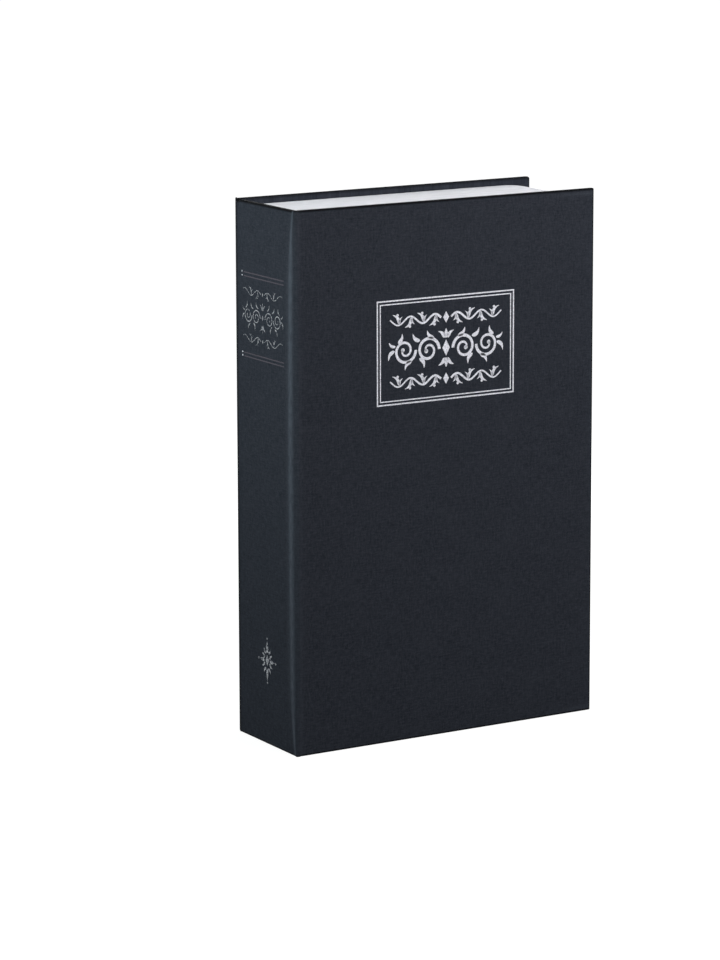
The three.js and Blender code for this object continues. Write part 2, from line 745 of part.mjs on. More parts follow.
// A wafer held level with the plug's surface, as a key holds it
function wafer(place) {
  const y = waferY(place);
  const half = waferWidth / 2;
  const reach = plugRadius + overrun;
  const past = [y - overrun, y + waferGauge + overrun];
  const blank = rodY(lockX, lockZ, plugRadius - waferFit, y, y + waferGauge);
  const strip = blank.intersect(block(lockX - half, lockX + half, ...past, lockZ - reach, lockZ + reach));
  const halfWindow = keywayWidth / 2 + waferFit;
  const play = plugRadius - keywayHeight / 2 - waferGauge / 2;
  const middle = lockZ + windowOffsetShares[place % windowOffsetShares.length] * play;
  const tall = keywayHeight / 2 - play / 2;
  return cut(strip, block(lockX - halfWindow, lockX + halfWindow, ...past, middle - tall, middle + tall));
}

function tailHole(y0, y1) {
  const half = plugTailSide / 2 + waferFit;
  return block(lockX - half, lockX + half, y0 - overrun, y1 + overrun, lockZ - half, lockZ + half);
}

function turnStopWasher() {
  const y1 = stopY0 + stopGauge;
  const hub = rodY(lockX, lockZ, stopHubRadius, stopY0, y1);
  const tabStart = tabAtRest - stopTabHalfDegrees;
  const tabShape = sector(plugTailSide / 2, stopRimRadius, tabStart, tabAtRest + stopTabHalfDegrees);
  return cut(join(hub, plateXZ(tabShape, stopY0, y1, curlSteps)), tailHole(stopY0, y1));
}

// The cam hangs straight down while unlocked
function lockCam() {
  const half = camWidth / 2;
  const hub = rodY(lockX, lockZ, stopRimRadius, camY0, camY1);
  const tip = half / 3;
  const arm = new THREE.Shape();
  arm.moveTo(lockX - half, lockZ);
  arm.lineTo(lockX - half, lockZ - camReach + tip);
  arm.lineTo(lockX - half + tip, lockZ - camReach);
  arm.lineTo(lockX + half - tip, lockZ - camReach);
  arm.lineTo(lockX + half, lockZ - camReach + tip);
  arm.lineTo(lockX + half, lockZ);
  return cut(join(hub, plateXZ(arm, camY0, camY1)), tailHole(camY0, camY1));
}

function camScrew() {
  const y0 = camY1 + glueLine;
  const y1 = y0 + camScrewHeadDepth;
  const turned = turnedOnLock([
    [0, camScrewEndY],
    [camScrewShankRadius, camScrewEndY],
    [camScrewShankRadius, y0],
    [camScrewHeadRadius, y0],
    [camScrewHeadRadius, y0 + camScrewHeadDepth / 2],
    [camScrewHeadRadius - camScrewHeadDepth / 2, y1],
    [0, y1],
  ], smallRoundSteps);
  const reach = camScrewHeadRadius + overrun;
  const half = camScrewSlotWidth / 2;
  const slotY0 = y1 - camScrewHeadDepth / 2;
  const slot = block(lockX - reach, lockX + reach, slotY0, y1 + overrun, lockZ - half, lockZ + half);
  return cut(turned, slot);
}

// An angle bracket welded to the box's fore wall, which the turned cam catches behind
function camKeeper() {
  const wallX = trayX1 - sheetGauge - glueLine;
  const half = keeperWidth / 2;
  const y0 = keeperY1 - keeperGauge;
  const catchX0 = wallX - keeperLap - camTipClearance;
  const catchLeg = block(catchX0, wallX, y0, keeperY1, lockZ - half, lockZ + half);
  const legY0 = Math.max(keeperY1 - keeperLeg, trayY0 + hemDepth + glueLine);
  const weldLeg = block(wallX - keeperGauge, wallX, legY0, keeperY1, lockZ - half, lockZ + half);
  return join(catchLeg, weldLeg);
}

// A flat key lying on the box's tail wall, turned about the middle of its bow
function flatKey(x, y, turnDegrees) {
  const bow = new THREE.Shape();
  bow.absarc(0, 0, keyBowRadius, 0, fullTurn, false);
  const hole = new THREE.Path();
  hole.absarc(keyHoleRadius * 2 - keyBowRadius, 0, keyHoleRadius, 0, fullTurn, true);
  bow.holes.push(hole);
  const half = keyBladeHeight / 2;
  const tipX = keyBowRadius + keyBladeLength;
  const blade = new THREE.Shape();
  blade.moveTo(keyBowRadius / 2, -half);
  blade.lineTo(tipX - half, -half);
  blade.lineTo(tipX, 0);
  blade.lineTo(tipX - half, half);
  const cutPitch = (keyBladeLength - keyBladeHeight) / keyCutShares.length;
  const reversed = [...keyCutShares].reverse();
  reversed.forEach((share, place) => {
    const x1 = tipX - half - cutPitch * place;
    const x0 = x1 - cutPitch;
    const depth = keyBladeHeight * share;
    blade.lineTo(THREE.MathUtils.lerp(x1, x0, 1 / 3), half - depth);
    blade.lineTo(THREE.MathUtils.lerp(x1, x0, 2 / 3), half - depth);
    blade.lineTo(x0, half);
  });
  blade.lineTo(keyBowRadius / 2, half);
  const blank = join(prismXY(bow, 0, keyGauge, smallRoundSteps), prismXY(blade, 0, keyGauge));
  const grooveY0 = -half + keyGrooveWidth;
  const groove = block(
    keyBowRadius + keyGrooveWidth,
    tipX + overrun,
    grooveY0,
    grooveY0 + keyGrooveWidth,
    keyGauge - keyGrooveDepth,
    keyGauge + overrun,
  );
  const key = meshGeometry(cut(blank, groove));
  key.rotateZ(radians(turnDegrees));
  return solid(key.translate(x, y, trayZ0 + sheetGauge + glueLine));
}

function meshGeometry(made) {
  const mesh = made.getMesh();
  const geometry = new THREE.BufferGeometry();
  geometry.setAttribute("position", new THREE.BufferAttribute(mesh.vertProperties, mesh.numProp));
  geometry.setIndex(new THREE.BufferAttribute(mesh.triVerts, 1));
  return geometry;
}

const book = new THREE.Group();

function place(name, made, material) {
  const geometry = meshGeometry(made).toNonIndexed();
  geometry.computeVertexNormals();
  const mesh = new THREE.Mesh(geometry, material);
  mesh.name = name;
  book.add(mesh);
}

place("front_board", boardOf(frontPanel), greyBoard);
place("front_cloth", clothOf(frontPanel), bookCloth);
place("front_pastedown", linerOf(frontPanel), linerPaper);
place("front_joint_cloth", jointStrip(-1, 0), bookCloth);
place("spine_board", boardOf(spinePanel), greyBoard);
place("spine_cloth", clothOf(spinePanel), bookCloth);
place("spine_lining", linerOf(spinePanel), linerPaper);
place("back_board", cut(boardOf(backPanel), ...rivetHoles(), ...tailRecesses()), greyBoard);
place("back_cloth", join(clothOf(backPanel), jointStrip(1, overrun)), bookCloth);
place("back_pastedown", cut(linerOf(backPanel), ...rivetHoles()), linerPaper);
place("page_frame", pageFrame(), pagePlastic);
place("box_tray", boxTray(), boxPaint);
place("box_lid", boxLid(), boxPaint);
place("lid_hinge_pin", hingePin(), plainSteel);
place("cam_keeper", camKeeper(), plainSteel);
rivetPlaces().forEach(([x, z], index) => place(`tray_rivet_${index + 1}`, rivet(x, z), plainSteel));
place("lock_housing", lockHousing(), lockChrome);
place("lock_nut", lockNut(), plainSteel);
place("lock_plug", lockPlug(), plugBrass);
for (let index = 0; index < waferCount; index += 1) {
  place(`lock_wafer_${index + 1}`, wafer(index), plugBrass);
}
place("turn_stop_washer", turnStopWasher(), plainSteel);
place("lock_cam", lockCam(), plainSteel);
place("cam_screw", camScrew(), plainSteel);
const keyReach = trayCornerRadius + keyPlay + keyBowRadius;
const keyY = floorY - keyPlay - keyBowRadius;
place("key_1", flatKey(trayX0 + keyReach, keyY, 0), lockChrome);
place("key_2", flatKey(trayX1 - keyReach, keyY, halfTurnDegrees - keyLeanDegrees), lockChrome);

export default book;
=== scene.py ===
import json
import math
import random

import bmesh
import bpy
from mathutils import Matrix, Vector

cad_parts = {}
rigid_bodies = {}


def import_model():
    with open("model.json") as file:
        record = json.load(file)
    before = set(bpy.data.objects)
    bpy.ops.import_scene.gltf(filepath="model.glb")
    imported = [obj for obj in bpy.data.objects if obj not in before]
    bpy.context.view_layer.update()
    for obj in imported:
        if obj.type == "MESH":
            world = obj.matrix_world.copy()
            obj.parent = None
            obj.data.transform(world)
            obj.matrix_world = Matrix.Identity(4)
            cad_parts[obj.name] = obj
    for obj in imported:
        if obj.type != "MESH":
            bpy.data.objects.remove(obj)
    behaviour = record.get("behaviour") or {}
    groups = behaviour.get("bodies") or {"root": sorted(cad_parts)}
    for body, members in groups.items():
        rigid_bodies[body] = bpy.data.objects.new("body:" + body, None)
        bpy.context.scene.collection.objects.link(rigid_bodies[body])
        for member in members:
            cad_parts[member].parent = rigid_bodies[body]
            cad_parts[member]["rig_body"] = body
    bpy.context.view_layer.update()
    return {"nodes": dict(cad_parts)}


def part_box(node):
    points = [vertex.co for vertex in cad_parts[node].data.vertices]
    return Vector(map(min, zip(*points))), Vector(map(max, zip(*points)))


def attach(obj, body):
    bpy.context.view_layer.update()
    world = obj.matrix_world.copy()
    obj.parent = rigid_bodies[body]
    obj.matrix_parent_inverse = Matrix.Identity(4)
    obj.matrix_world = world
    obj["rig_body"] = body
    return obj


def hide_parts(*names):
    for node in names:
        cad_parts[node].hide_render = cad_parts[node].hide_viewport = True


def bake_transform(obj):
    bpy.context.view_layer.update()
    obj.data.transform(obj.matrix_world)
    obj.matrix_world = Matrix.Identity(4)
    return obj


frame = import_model()
MM = 0.001

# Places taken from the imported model
front_lo, front_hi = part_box("front_cloth")
spine_lo, spine_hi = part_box("spine_cloth")
page_lo, page_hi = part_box("page_frame")
lid_lo, lid_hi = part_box("box_lid")
SPINE_X = spine_lo.x
SPINE_Y = spine_hi.y
PANEL_X = front_lo.x
FORE_X = front_hi.x
FRONT_Y = front_lo.y
BACK_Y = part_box("back_cloth")[1].y
HEIGHT = front_hi.z
CASE_DEPTH = front_hi.y - front_lo.y

# The case's cloth: its gauge and weave, its turn round the boards' edges, and the covers' round corners
CLOTH = 0.4 * MM
WEAVE_PITCH = 0.36 * MM
EDGE_ROUND = 0.95 * MM
BORDER = 1.35 * MM
TURN_IN = 15 * MM
FRONT_CORNER = 0.5 * MM
BACK_CORNER = 1.05 * MM
CORNER_STEPS = 6
# Where the two sheets meet on the spine, and how near to the head and the tail their points lie closer
SEAM_Y = 20 * MM
NEAR_END = 6.6 * MM
# The joints: the cloth's depth and length there, and the front ridge's bow and flare at head and tail
JOINT_DEPTH = 0.85 * MM
JOINT_LENGTH = 5.45 * MM
RIDGE_BOW = 1.3 * MM
RIDGE_FLARE = 2.3 * MM
# How much painted highlight and how much painted shade the cloth gets at each step of its turn round an edge,
# from the face to the inside
EDGE_PAINTED_HIGHLIGHT = (0.04, 0.05, *[0] * 14)
EDGE_PAINTED_SHADE = (0, 0.3, 0.75, 0.95, 1, 1, 1, 1, 1, 0.9, 0.7, 0.5, 0.4, 0, 0, 0)
FOIL_LIFT = 0.03 * MM
# Points closer than this are one
SAME_PLACE = 1e-6

# Colours, linear
CLOTH_DARK = (0.0147, 0.0175, 0.0243)
CLOTH_LIGHT = (0.0343, 0.0385, 0.0508)
CLOTH_CLOUD = (0.0338, 0.0375, 0.0490)
# Lighter cloth, for painted highlight and for wear near the front's outer corners
CLOTH_RUB_AND_HIGHLIGHT = (0.073, 0.084, 0.106)
FOIL_BRIGHT = (0.72, 0.73, 0.81)
FOIL_BROKEN = (0.54, 0.545, 0.59)
FOIL_WORN = (0.052, 0.045, 0.060)
LEAF_DARK = (0.520, 0.522, 0.562)
LEAF_LIGHT = (0.660, 0.663, 0.710)
LEAF_SOIL = (0.56, 0.545, 0.51)
PLASTIC_CLEAN = (0.66, 0.675, 0.70)
PLASTIC_SOIL = (0.58, 0.58, 0.575)
PAPER_DARK = (0.021, 0.0225, 0.027)
PAPER_LIGHT = (0.032, 0.034, 0.039)
BOARD_DARK = (0.20, 0.185, 0.16)
BOARD_LIGHT = (0.34, 0.32, 0.285)
BOARD_FLECK = (0.09, 0.085, 0.08)
COAT_CLEAN = (0.0125, 0.013, 0.0145)
COAT_DUST = (0.024, 0.0245, 0.026)
ZINC = (0.60, 0.61, 0.63)
ALLOY = (0.70, 0.705, 0.71)
CHROME = (0.78, 0.79, 0.80)
BRASS = (0.71, 0.52, 0.22)
NICKEL = (0.74, 0.735, 0.72)
FLOOR_GREY = (0.2, 0.2, 0.2)
WORLD_BLUE = (0.82, 0.925, 1)


# Materials
class Shader:
    """Short calls for building one material's nodes."""

    def __init__(self, name):
        self.material = bpy.data.materials.new(name)
        self.material.use_nodes = True
        self.tree = self.material.node_tree
        self.tree.nodes.clear()
        self.output = self.add("ShaderNodeOutputMaterial")
        self.surface = self.add("ShaderNodeBsdfPrincipled")
        self.link(self.surface.outputs[0], self.output.inputs["Surface"])

    def add(self, kind, **settings):
        node = self.tree.nodes.new(kind)
        for key, value in settings.items():
            setattr(node, key, value)
        return node

    def link(self, source, target):
        self.tree.links.new(source, target)

    def feed(self, target, value):
        if isinstance(value, bpy.types.NodeSocket):
            self.link(value, target)
        else:
            target.default_value = value

    def math(self, operation, a, b=None, clamp=False):
        node = self.add("ShaderNodeMath", operation=operation, use_clamp=clamp)
        self.feed(node.inputs[0], a)
        if b is not None:
            self.feed(node.inputs[1], b)
        return node.outputs[0]

    def total(self, a, share_a, b, share_b):
        return self.math("ADD", self.math("MULTIPLY", a, share_a), self.math("MULTIPLY", b, share_b))

    def noise(self, vector, scale, detail=2, roughness=0.5):
        """Noise with one scale, or with three of them, which stretch it."""
        if isinstance(scale, tuple):
            stretched = self.add("ShaderNodeMapping")
            self.link(vector, stretched.inputs["Vector"])
            stretched.inputs["Scale"].default_value = scale
            vector, scale = stretched.outputs[0], 1
        node = self.add("ShaderNodeTexNoise")
        self.link(vector, node.inputs["Vector"])
        node.inputs["Scale"].default_value = scale
        node.inputs["Detail"].default_value = detail
        node.inputs["Roughness"].default_value = roughness
        return node.outputs["Fac"]

    def place(self):
        return self.add("ShaderNodeTexCoord").outputs["Object"]

    def split(self, vector):
        node = self.add("ShaderNodeSeparateXYZ")
        self.link(vector, node.inputs[0])
        return node.outputs

    def span(self, value, low, high, to_low=0, to_high=1):
        node = self.add("ShaderNodeMapRange")
        self.feed(node.inputs[0], value)
        for socket, number in zip(node.inputs[1:5], (low, high, to_low, to_high)):
            socket.default_value = number
        return node.outputs[0]

    def blend(self, share, a, b):
        node = self.add("ShaderNodeMix", data_type="RGBA")
        self.feed(node.inputs["Factor"], share)
        self.feed(node.inputs["A"], (*a, 1) if isinstance(a, tuple) else a)
        self.feed(node.inputs["B"], (*b, 1) if isinstance(b, tuple) else b)
        return node.outputs["Result"]

    def attribute(self, name):
        return self.add("ShaderNodeAttribute", attribute_name=name).outputs["Fac"]

    def bump(self, height, distance, strength):
        node = self.add("ShaderNodeBump")
        node.inputs["Distance"].default_value = distance
        node.inputs["Strength"].default_value = strength
        self.link(height, node.inputs["Height"])
        self.link(node.outputs[0], self.surface.inputs["Normal"])

    def set(self, **sockets):
        for key, value in sockets.items():
            socket = self.surface.inputs[key.replace("_", " ")]
            self.feed(socket, (*value, 1) if isinstance(value, tuple) else value)
        return self.material


def darker(colour, share):
    return tuple(channel * share for channel in colour)


def weave(shader):
    """Plain weave on the flat cloth: the place there, the threads' height, and a slub of thicker threads."""
    flat = shader.add("ShaderNodeUVMap", uv_map="cloth").outputs[0]
    slub_up = shader.noise(flat, (1150, 300, 1), 3, 0.6)
    slub_across = shader.noise(flat, (330, 1250, 1), 3, 0.6)
    wander = 0.12 * WEAVE_PITCH
    shift = shader.span(shader.noise(flat, 420, 1), 0.3, 0.7, -wander, wander)
    waves, threads = [], []
    for way, slub in zip(shader.split(flat), (slub_up, slub_across)):
        turn = shader.math("MULTIPLY", shader.math("ADD", way, shift), math.pi / WEAVE_PITCH)
        waves.append(shader.math("SINE", turn))
        thickness = shader.span(slub, 0.25, 0.75, 0.6, 1.2)
        threads.append(shader.math("MULTIPLY", shader.math("ABSOLUTE", waves[-1]), thickness))
    over = shader.math("GREATER_THAN", shader.math("MULTIPLY", *waves), 0)
    under = shader.math("SUBTRACT", 1, over)
    height = shader.total(threads[0], over, threads[1], under)
    return flat, height, shader.total(slub_up, 0.5, slub_across, 0.5)


def book_cloth():
    shader = Shader("book_cloth")
    flat, height, slub = weave(shader)
    cloud = shader.noise(flat, 75, 4, 0.6)
    grain = shader.noise(flat, 1500, 2, 0.6)
    tone = shader.total(slub, 0.7, grain, 0.3)
    colour = shader.blend(shader.span(tone, 0.36, 0.64), CLOTH_DARK, CLOTH_LIGHT)
    colour = shader.blend(shader.span(cloud, 0.4, 0.7, 0, 0.3), colour, CLOTH_CLOUD)
    # Painted shade: the cloth is darker in the weave's hollows than on the threads' tops
    valley_shade = shader.span(height, 0, 0.9, 0.72, 1.06)
    # Painted shade, multiplied into the colour along the turns round the boards' edges and along the back
    # joint
    rim_shade = shader.span(shader.attribute("rim_shade"), 0, 1, 1, 0.1)
    shade = shader.add("ShaderNodeMix", data_type="RGBA", blend_type="MULTIPLY")
    shade.inputs["Factor"].default_value = 1
    shader.link(colour, shade.inputs["A"])
    shader.link(shader.math("MULTIPLY", valley_shade, rim_shade), shade.inputs["B"])
    # Painted highlight on the front ridge, over the joint and along the faces' edges, with wear near the
    # front's outer corners, broken into streaks
    streaks = shader.span(shader.noise(flat, (900, 240, 1), 3, 0.6), 0.3, 0.7, 0.5, 1.1)
    rubbed_and_lit = shader.math("MULTIPLY", shader.attribute("rub_and_highlight"), streaks, clamp=True)
    shader.bump(shader.total(height, 1, slub, 1.6), 0.1 * MM, 0.9)
    return shader.set(
        Base_Color=shader.blend(rubbed_and_lit, shade.outputs["Result"], CLOTH_RUB_AND_HIGHLIGHT),
        Roughness=shader.span(rubbed_and_lit, 0, 1, 0.8, 0.62),
        Specular_IOR_Level=0.03,
    )


def foil(name, bright, broken, edge=0.06, speck=1900):
    """Pressed foil that has come off in specks; it covers more when broken is lower."""
    shader = Shader(name)
    flat, height, slub = weave(shader)
    specks = shader.noise(flat, speck, 3, 0.65)
    cover = shader.span(shader.total(height, 0.2, specks, 0.8), broken - edge, broken + edge)
    patches = shader.span(shader.noise(flat, 1100, 3), 0.35, 0.65)
    shader.bump(shader.math("ADD", height, slub), 0.03 * MM, 0.5)
    return shader.set(
        Base_Color=shader.blend(cover, CLOTH_LIGHT, shader.blend(patches, bright, darker(bright, 0.72))),
        Metallic=shader.span(cover, 0, 1, 0, 0.3),
        Roughness=shader.span(cover, 0, 1, 0.8, 0.42),
        Specular_IOR_Level=0.1,
    )


def leaf_edges():
    """Moulded leaf edges: fine lines that run along the leaves, at levels across the thickness."""
    shader = Shader("leaf_edges")
    place = shader.place()
    fine = shader.noise(place, (14, 5200, 14), 4, 0.7)
    groups = shader.noise(place, (9, 900, 9))
    soil = shader.noise(place, 45, 4, 0.55)
    lines = shader.total(fine, 0.6, groups, 0.4)
    colour = shader.blend(shader.span(lines, 0.34, 0.66), LEAF_DARK, LEAF_LIGHT)
    colour = shader.blend(shader.span(soil, 0.5, 0.8, 0, 0.16), colour, LEAF_SOIL)
    shader.bump(lines, 0.16 * MM, 0.8)
    return shader.set(Base_Color=colour, Roughness=0.62, Specular_IOR_Level=0.05)


def moulded_plastic():
    shader = Shader("moulded_plastic")
    place = shader.place()
    texture = shader.noise(place, 1900, 3, 0.6)
    soil = shader.noise(place, 60, 4, 0.55)
    shader.bump(texture, 0.03 * MM, 0.5)
    return shader.set(
        Base_Color=shader.blend(shader.span(soil, 0.4, 0.75, 0, 0.5), PLASTIC_CLEAN, PLASTIC_SOIL),
        Roughness=shader.span(texture, 0.3, 0.7, 0.42, 0.56),
        Specular_IOR_Level=0.15,
    )


def endpaper():
    shader = Shader("endpaper")
    place = shader.place()
    fibre = shader.noise(place, (900, 900, 260), 4, 0.65)
    fleck = shader.noise(place, 3400, 2, 0.6)
    tone = shader.total(fibre, 0.7, fleck, 0.3)
    shader.bump(tone, 0.04 * MM, 0.55)
    return shader.set(
        Base_Color=shader.blend(shader.span(tone, 0.38, 0.62), PAPER_DARK, PAPER_LIGHT),
        Roughness=shader.span(fibre, 0.3, 0.7, 0.7, 0.85),
        Specular_IOR_Level=0.15,
    )


def raw_board():
    """Grey board, which is covered by the cloth's dark turn-ins at the head and the tail."""
    shader = Shader("raw_board")
    place = shader.place()
    fibre = shader.noise(place, (700, 2600, 700), 5, 0.7)
    fleck = shader.noise(place, 900, 3, 0.6)
    colour = shader.blend(shader.span(fibre, 0.35, 0.65), BOARD_DARK, BOARD_LIGHT)
    colour = shader.blend(shader.span(fleck, 0.66, 0.72, 0, 0.7), colour, BOARD_FLECK)
    from_middle = shader.math("ABSOLUTE", shader.math("SUBTRACT", shader.split(place)[2], HEIGHT / 2))
    under_turn_in = shader.math("GREATER_THAN", from_middle, HEIGHT / 2 - TURN_IN)
    shader.bump(fibre, 0.15 * MM, 0.8)
    return shader.set(
        Base_Color=shader.blend(under_turn_in, colour, CLOTH_DARK),
        Roughness=0.92,
        Specular_IOR_Level=0.05,
    )


def powder_coat():
    shader = Shader("powder_coat")
    place = shader.place()
    peel = shader.noise(place, 750)
    pits = shader.noise(place, 2600, 2, 0.6)
    dust = shader.noise(place, 40, 5, 0.6)
    shader.bump(shader.total(peel, 0.7, pits, 0.3), 0.1 * MM, 0.6)
    return shader.set(
        Base_Color=shader.blend(shader.span(dust, 0.45, 0.75, 0, 0.25), COAT_CLEAN, COAT_DUST),
        Roughness=shader.span(peel, 0.3, 0.7, 0.5, 0.6),
        Specular_IOR_Level=0.32,
    )


def metal(name, colour, roughness, stretch, scratch=0.5):
    """Plated or turned metal: fine tool marks along one direction, and a patchy sheen."""
    shader = Shader(name)
    place = shader.place()
    marks = shader.noise(place, stretch, 3, 0.65)
    patches = shader.noise(place, 320)
    shader.bump(marks, 0.02 * MM, scratch)
    return shader.set(
        Base_Color=shader.blend(shader.span(patches, 0.3, 0.75), colour, darker(colour, 0.78)),
        Metallic=1.0,
        Roughness=shader.span(shader.total(marks, 0.6, patches, 0.4), 0.32, 0.68, *roughness),
    )


cloth_material = book_cloth()
front_foil = foil("silver_foil", FOIL_BRIGHT, broken=0.4)
spine_foil = foil("broken_foil", FOIL_BROKEN, broken=0.525, edge=0.05, speck=1150)
worn_foil = foil("worn_foil", FOIL_WORN, broken=0.42)
leaf_material = leaf_edges()
plastic_material = moulded_plastic()
paper_material = endpaper()
board_material = raw_board()
coat_material = powder_coat()
steel_material = metal("zinc_plate", ZINC, (0.28, 0.48), (300, 300, 2600))
alloy_material = metal("rivet_alloy", ALLOY, (0.3, 0.46), (900, 900, 900))
chrome_material = metal("lock_chrome", CHROME, (0.08, 0.2), (1500, 500, 1500), scratch=0.2)
brass_material = metal("plug_brass", BRASS, (0.2, 0.36), (1800, 300, 1800))
nickel_material = metal("key_nickel", NICKEL, (0.36, 0.48), (2400, 300, 300), scratch=0.1)


# Meshes
def add_object(name, data):
    made = bpy.data.objects.new(name, data)
    bpy.context.scene.collection.objects.link(made)
    return made


def new_object(name, verts, faces, material):
    mesh = bpy.data.meshes.new(name)
    mesh.from_pydata([tuple(v) for v in verts], [], faces)
    mesh.materials.append(material)
    return add_object(name, mesh)


def lay_flat(mesh, flats):
    """Gives each point its place on the flat cloth, which the weave runs on."""
    layer = mesh.uv_layers.new(name="cloth")
    for loop in mesh.loops:
        layer.data[loop.index].uv = flats[loop.vertex_index]


def clean_up(mesh, join=True):
    """Joins points that lie together and turns all faces outwards."""
    work = bmesh.new()
    work.from_mesh(mesh)
    if join:
        bmesh.ops.remove_doubles(work, verts=work.verts, dist=SAME_PLACE)
    bmesh.ops.recalc_face_normals(work, faces=work.faces)
    work.to_mesh(mesh)
    work.free()
    mesh.update()


def soften(mesh, corner_degrees):
    """Shades a mesh smooth, except over corners sharper than this."""
    mesh.polygons.foreach_set("use_smooth", [True] * len(mesh.polygons))
    mesh.set_sharp_from_angle(angle=math.radians(corner_degrees))


def refined(node, name, slot, material, width):
    """A copy of a solid whose sharp edges are rounded, as folded and machined metal has them."""
    corner_degrees, flat_degrees = 32, 0.5
    work = bmesh.new()
    work.from_mesh(frame["nodes"][node].data)
    bmesh.ops.remove_doubles(work, verts=work.verts, dist=SAME_PLACE)
    bmesh.ops.dissolve_limit(
        work, angle_limit=math.radians(flat_degrees), verts=work.verts, edges=work.edges
    )
    limit = math.radians(corner_degrees)
    sharp = [e for e in work.edges if len(e.link_faces) == 2 and e.calc_face_angle(0) > limit]
    bmesh.ops.bevel(
        work, geom=sharp, offset=width, segments=2, profile=0.5, affect="EDGES", clamp_overlap=True
    )
    mesh = bpy.data.meshes.new(name)
    work.to_mesh(mesh)
    work.free()
    mesh.materials.clear()
    mesh.materials.append(material)
    mesh.polygons.foreach_set("material_index", [0] * len(mesh.polygons))
    soften(mesh, corner_degrees)
    made = add_object(name, mesh)
    normals = made.modifiers.new("normals", "WEIGHTED_NORMAL")
    normals.keep_sharp = True
    normals.weight = 80
    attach(made, frame["nodes"][node]["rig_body"])
    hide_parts(node)


# The case's cloth
def bezier(p0, p1, p2, p3, count):
    made = []
    for step in range(count + 1):
        t = step / count
        a, b, c, d = (1 - t) ** 3, 3 * t * (1 - t) ** 2, 3 * t * t * (1 - t), t ** 3
        made.append(p0 * a + p1 * b + p2 * c + p3 * d)
    return made


def evenly(low, high, count):
    """Values from low on, with high left out."""
    return [low + (high - low) * step / count for step in range(count)]


def spread(a, b, count):
    """Points from a on, with b left out."""
    return [a.lerp(b, step / count) for step in range(count)]


def bump_at(value, centre, width):
    return math.exp(-(((value - centre) / width) ** 2))


def ramp(value, low, high):
    share = min(1.0, max(0.0, (value - low) / (high - low)))
    return share * share * (3 - 2 * share)


def case_route(side, z):
    """The case's outer face at a height, as seen from the head: part of the spine, a joint and a cover.

    The side is -1 at the front and 1 at the back. The front joint sags, except at the head and the tail,
    where the cloth is double and the joint is nearly square."""
    if side < 0:
        face_y, ends = FRONT_Y, abs(2 * z / HEIGHT - 1)
        hold, reach = 0.2 + 0.35 * ends ** 4, (1.2 + 0.85 * ends ** 4) * MM
        near_seam, near_ridge = 16, 4
    else:
        face_y, ends = BACK_Y, 0
        hold, reach = 0.08, 0.5 * MM
        near_seam, near_ridge = 2, 3
    fine = 1.6 * MM
    ridge = SPINE_Y + RIDGE_BOW * ends ** 2 + RIDGE_FLARE * ends ** 12
    leg = abs(face_y) - ridge
    seam = Vector((SPINE_X, SEAM_Y))
    start = Vector((SPINE_X, side * ridge))
    end = Vector((PANEL_X, face_y))
    fore = Vector((FORE_X - BORDER, face_y))
    before = Vector((SPINE_X, start.y - side * fine))
    after = Vector((PANEL_X + fine, face_y))
    spine = spread(seam, before, near_seam) + spread(before, start, near_ridge)
    joint = bezier(start, start + Vector((0, side * leg * hold)), end + Vector((-reach, 0)), end, 18)[:-1]
    cover = spread(end, after, 4) + spread(after, fore, 34) + [fore]
    return spine + joint + cover, len(spine), len(spine) + len(joint)


def wrap_profile(depth):
    """How the cloth turns round a board's edge: distance in from the outline, and depth."""
    rounding = min(EDGE_ROUND, depth / 2)
    turns = [math.radians(18 * step) for step in range(1, 6)]
    return [
        (BORDER, 0.0),
        (rounding, 0.0),
        *[(rounding * (1 - math.sin(turn)), rounding * (1 - math.cos(turn))) for turn in turns],
        (0.0, depth - rounding),
        *[(rounding * (1 - math.cos(turn)), depth - rounding * (1 - math.sin(turn))) for turn in turns],
        (BORDER, depth),
        (TURN_IN, depth),
        (TURN_IN, depth - CLOTH),
    ]


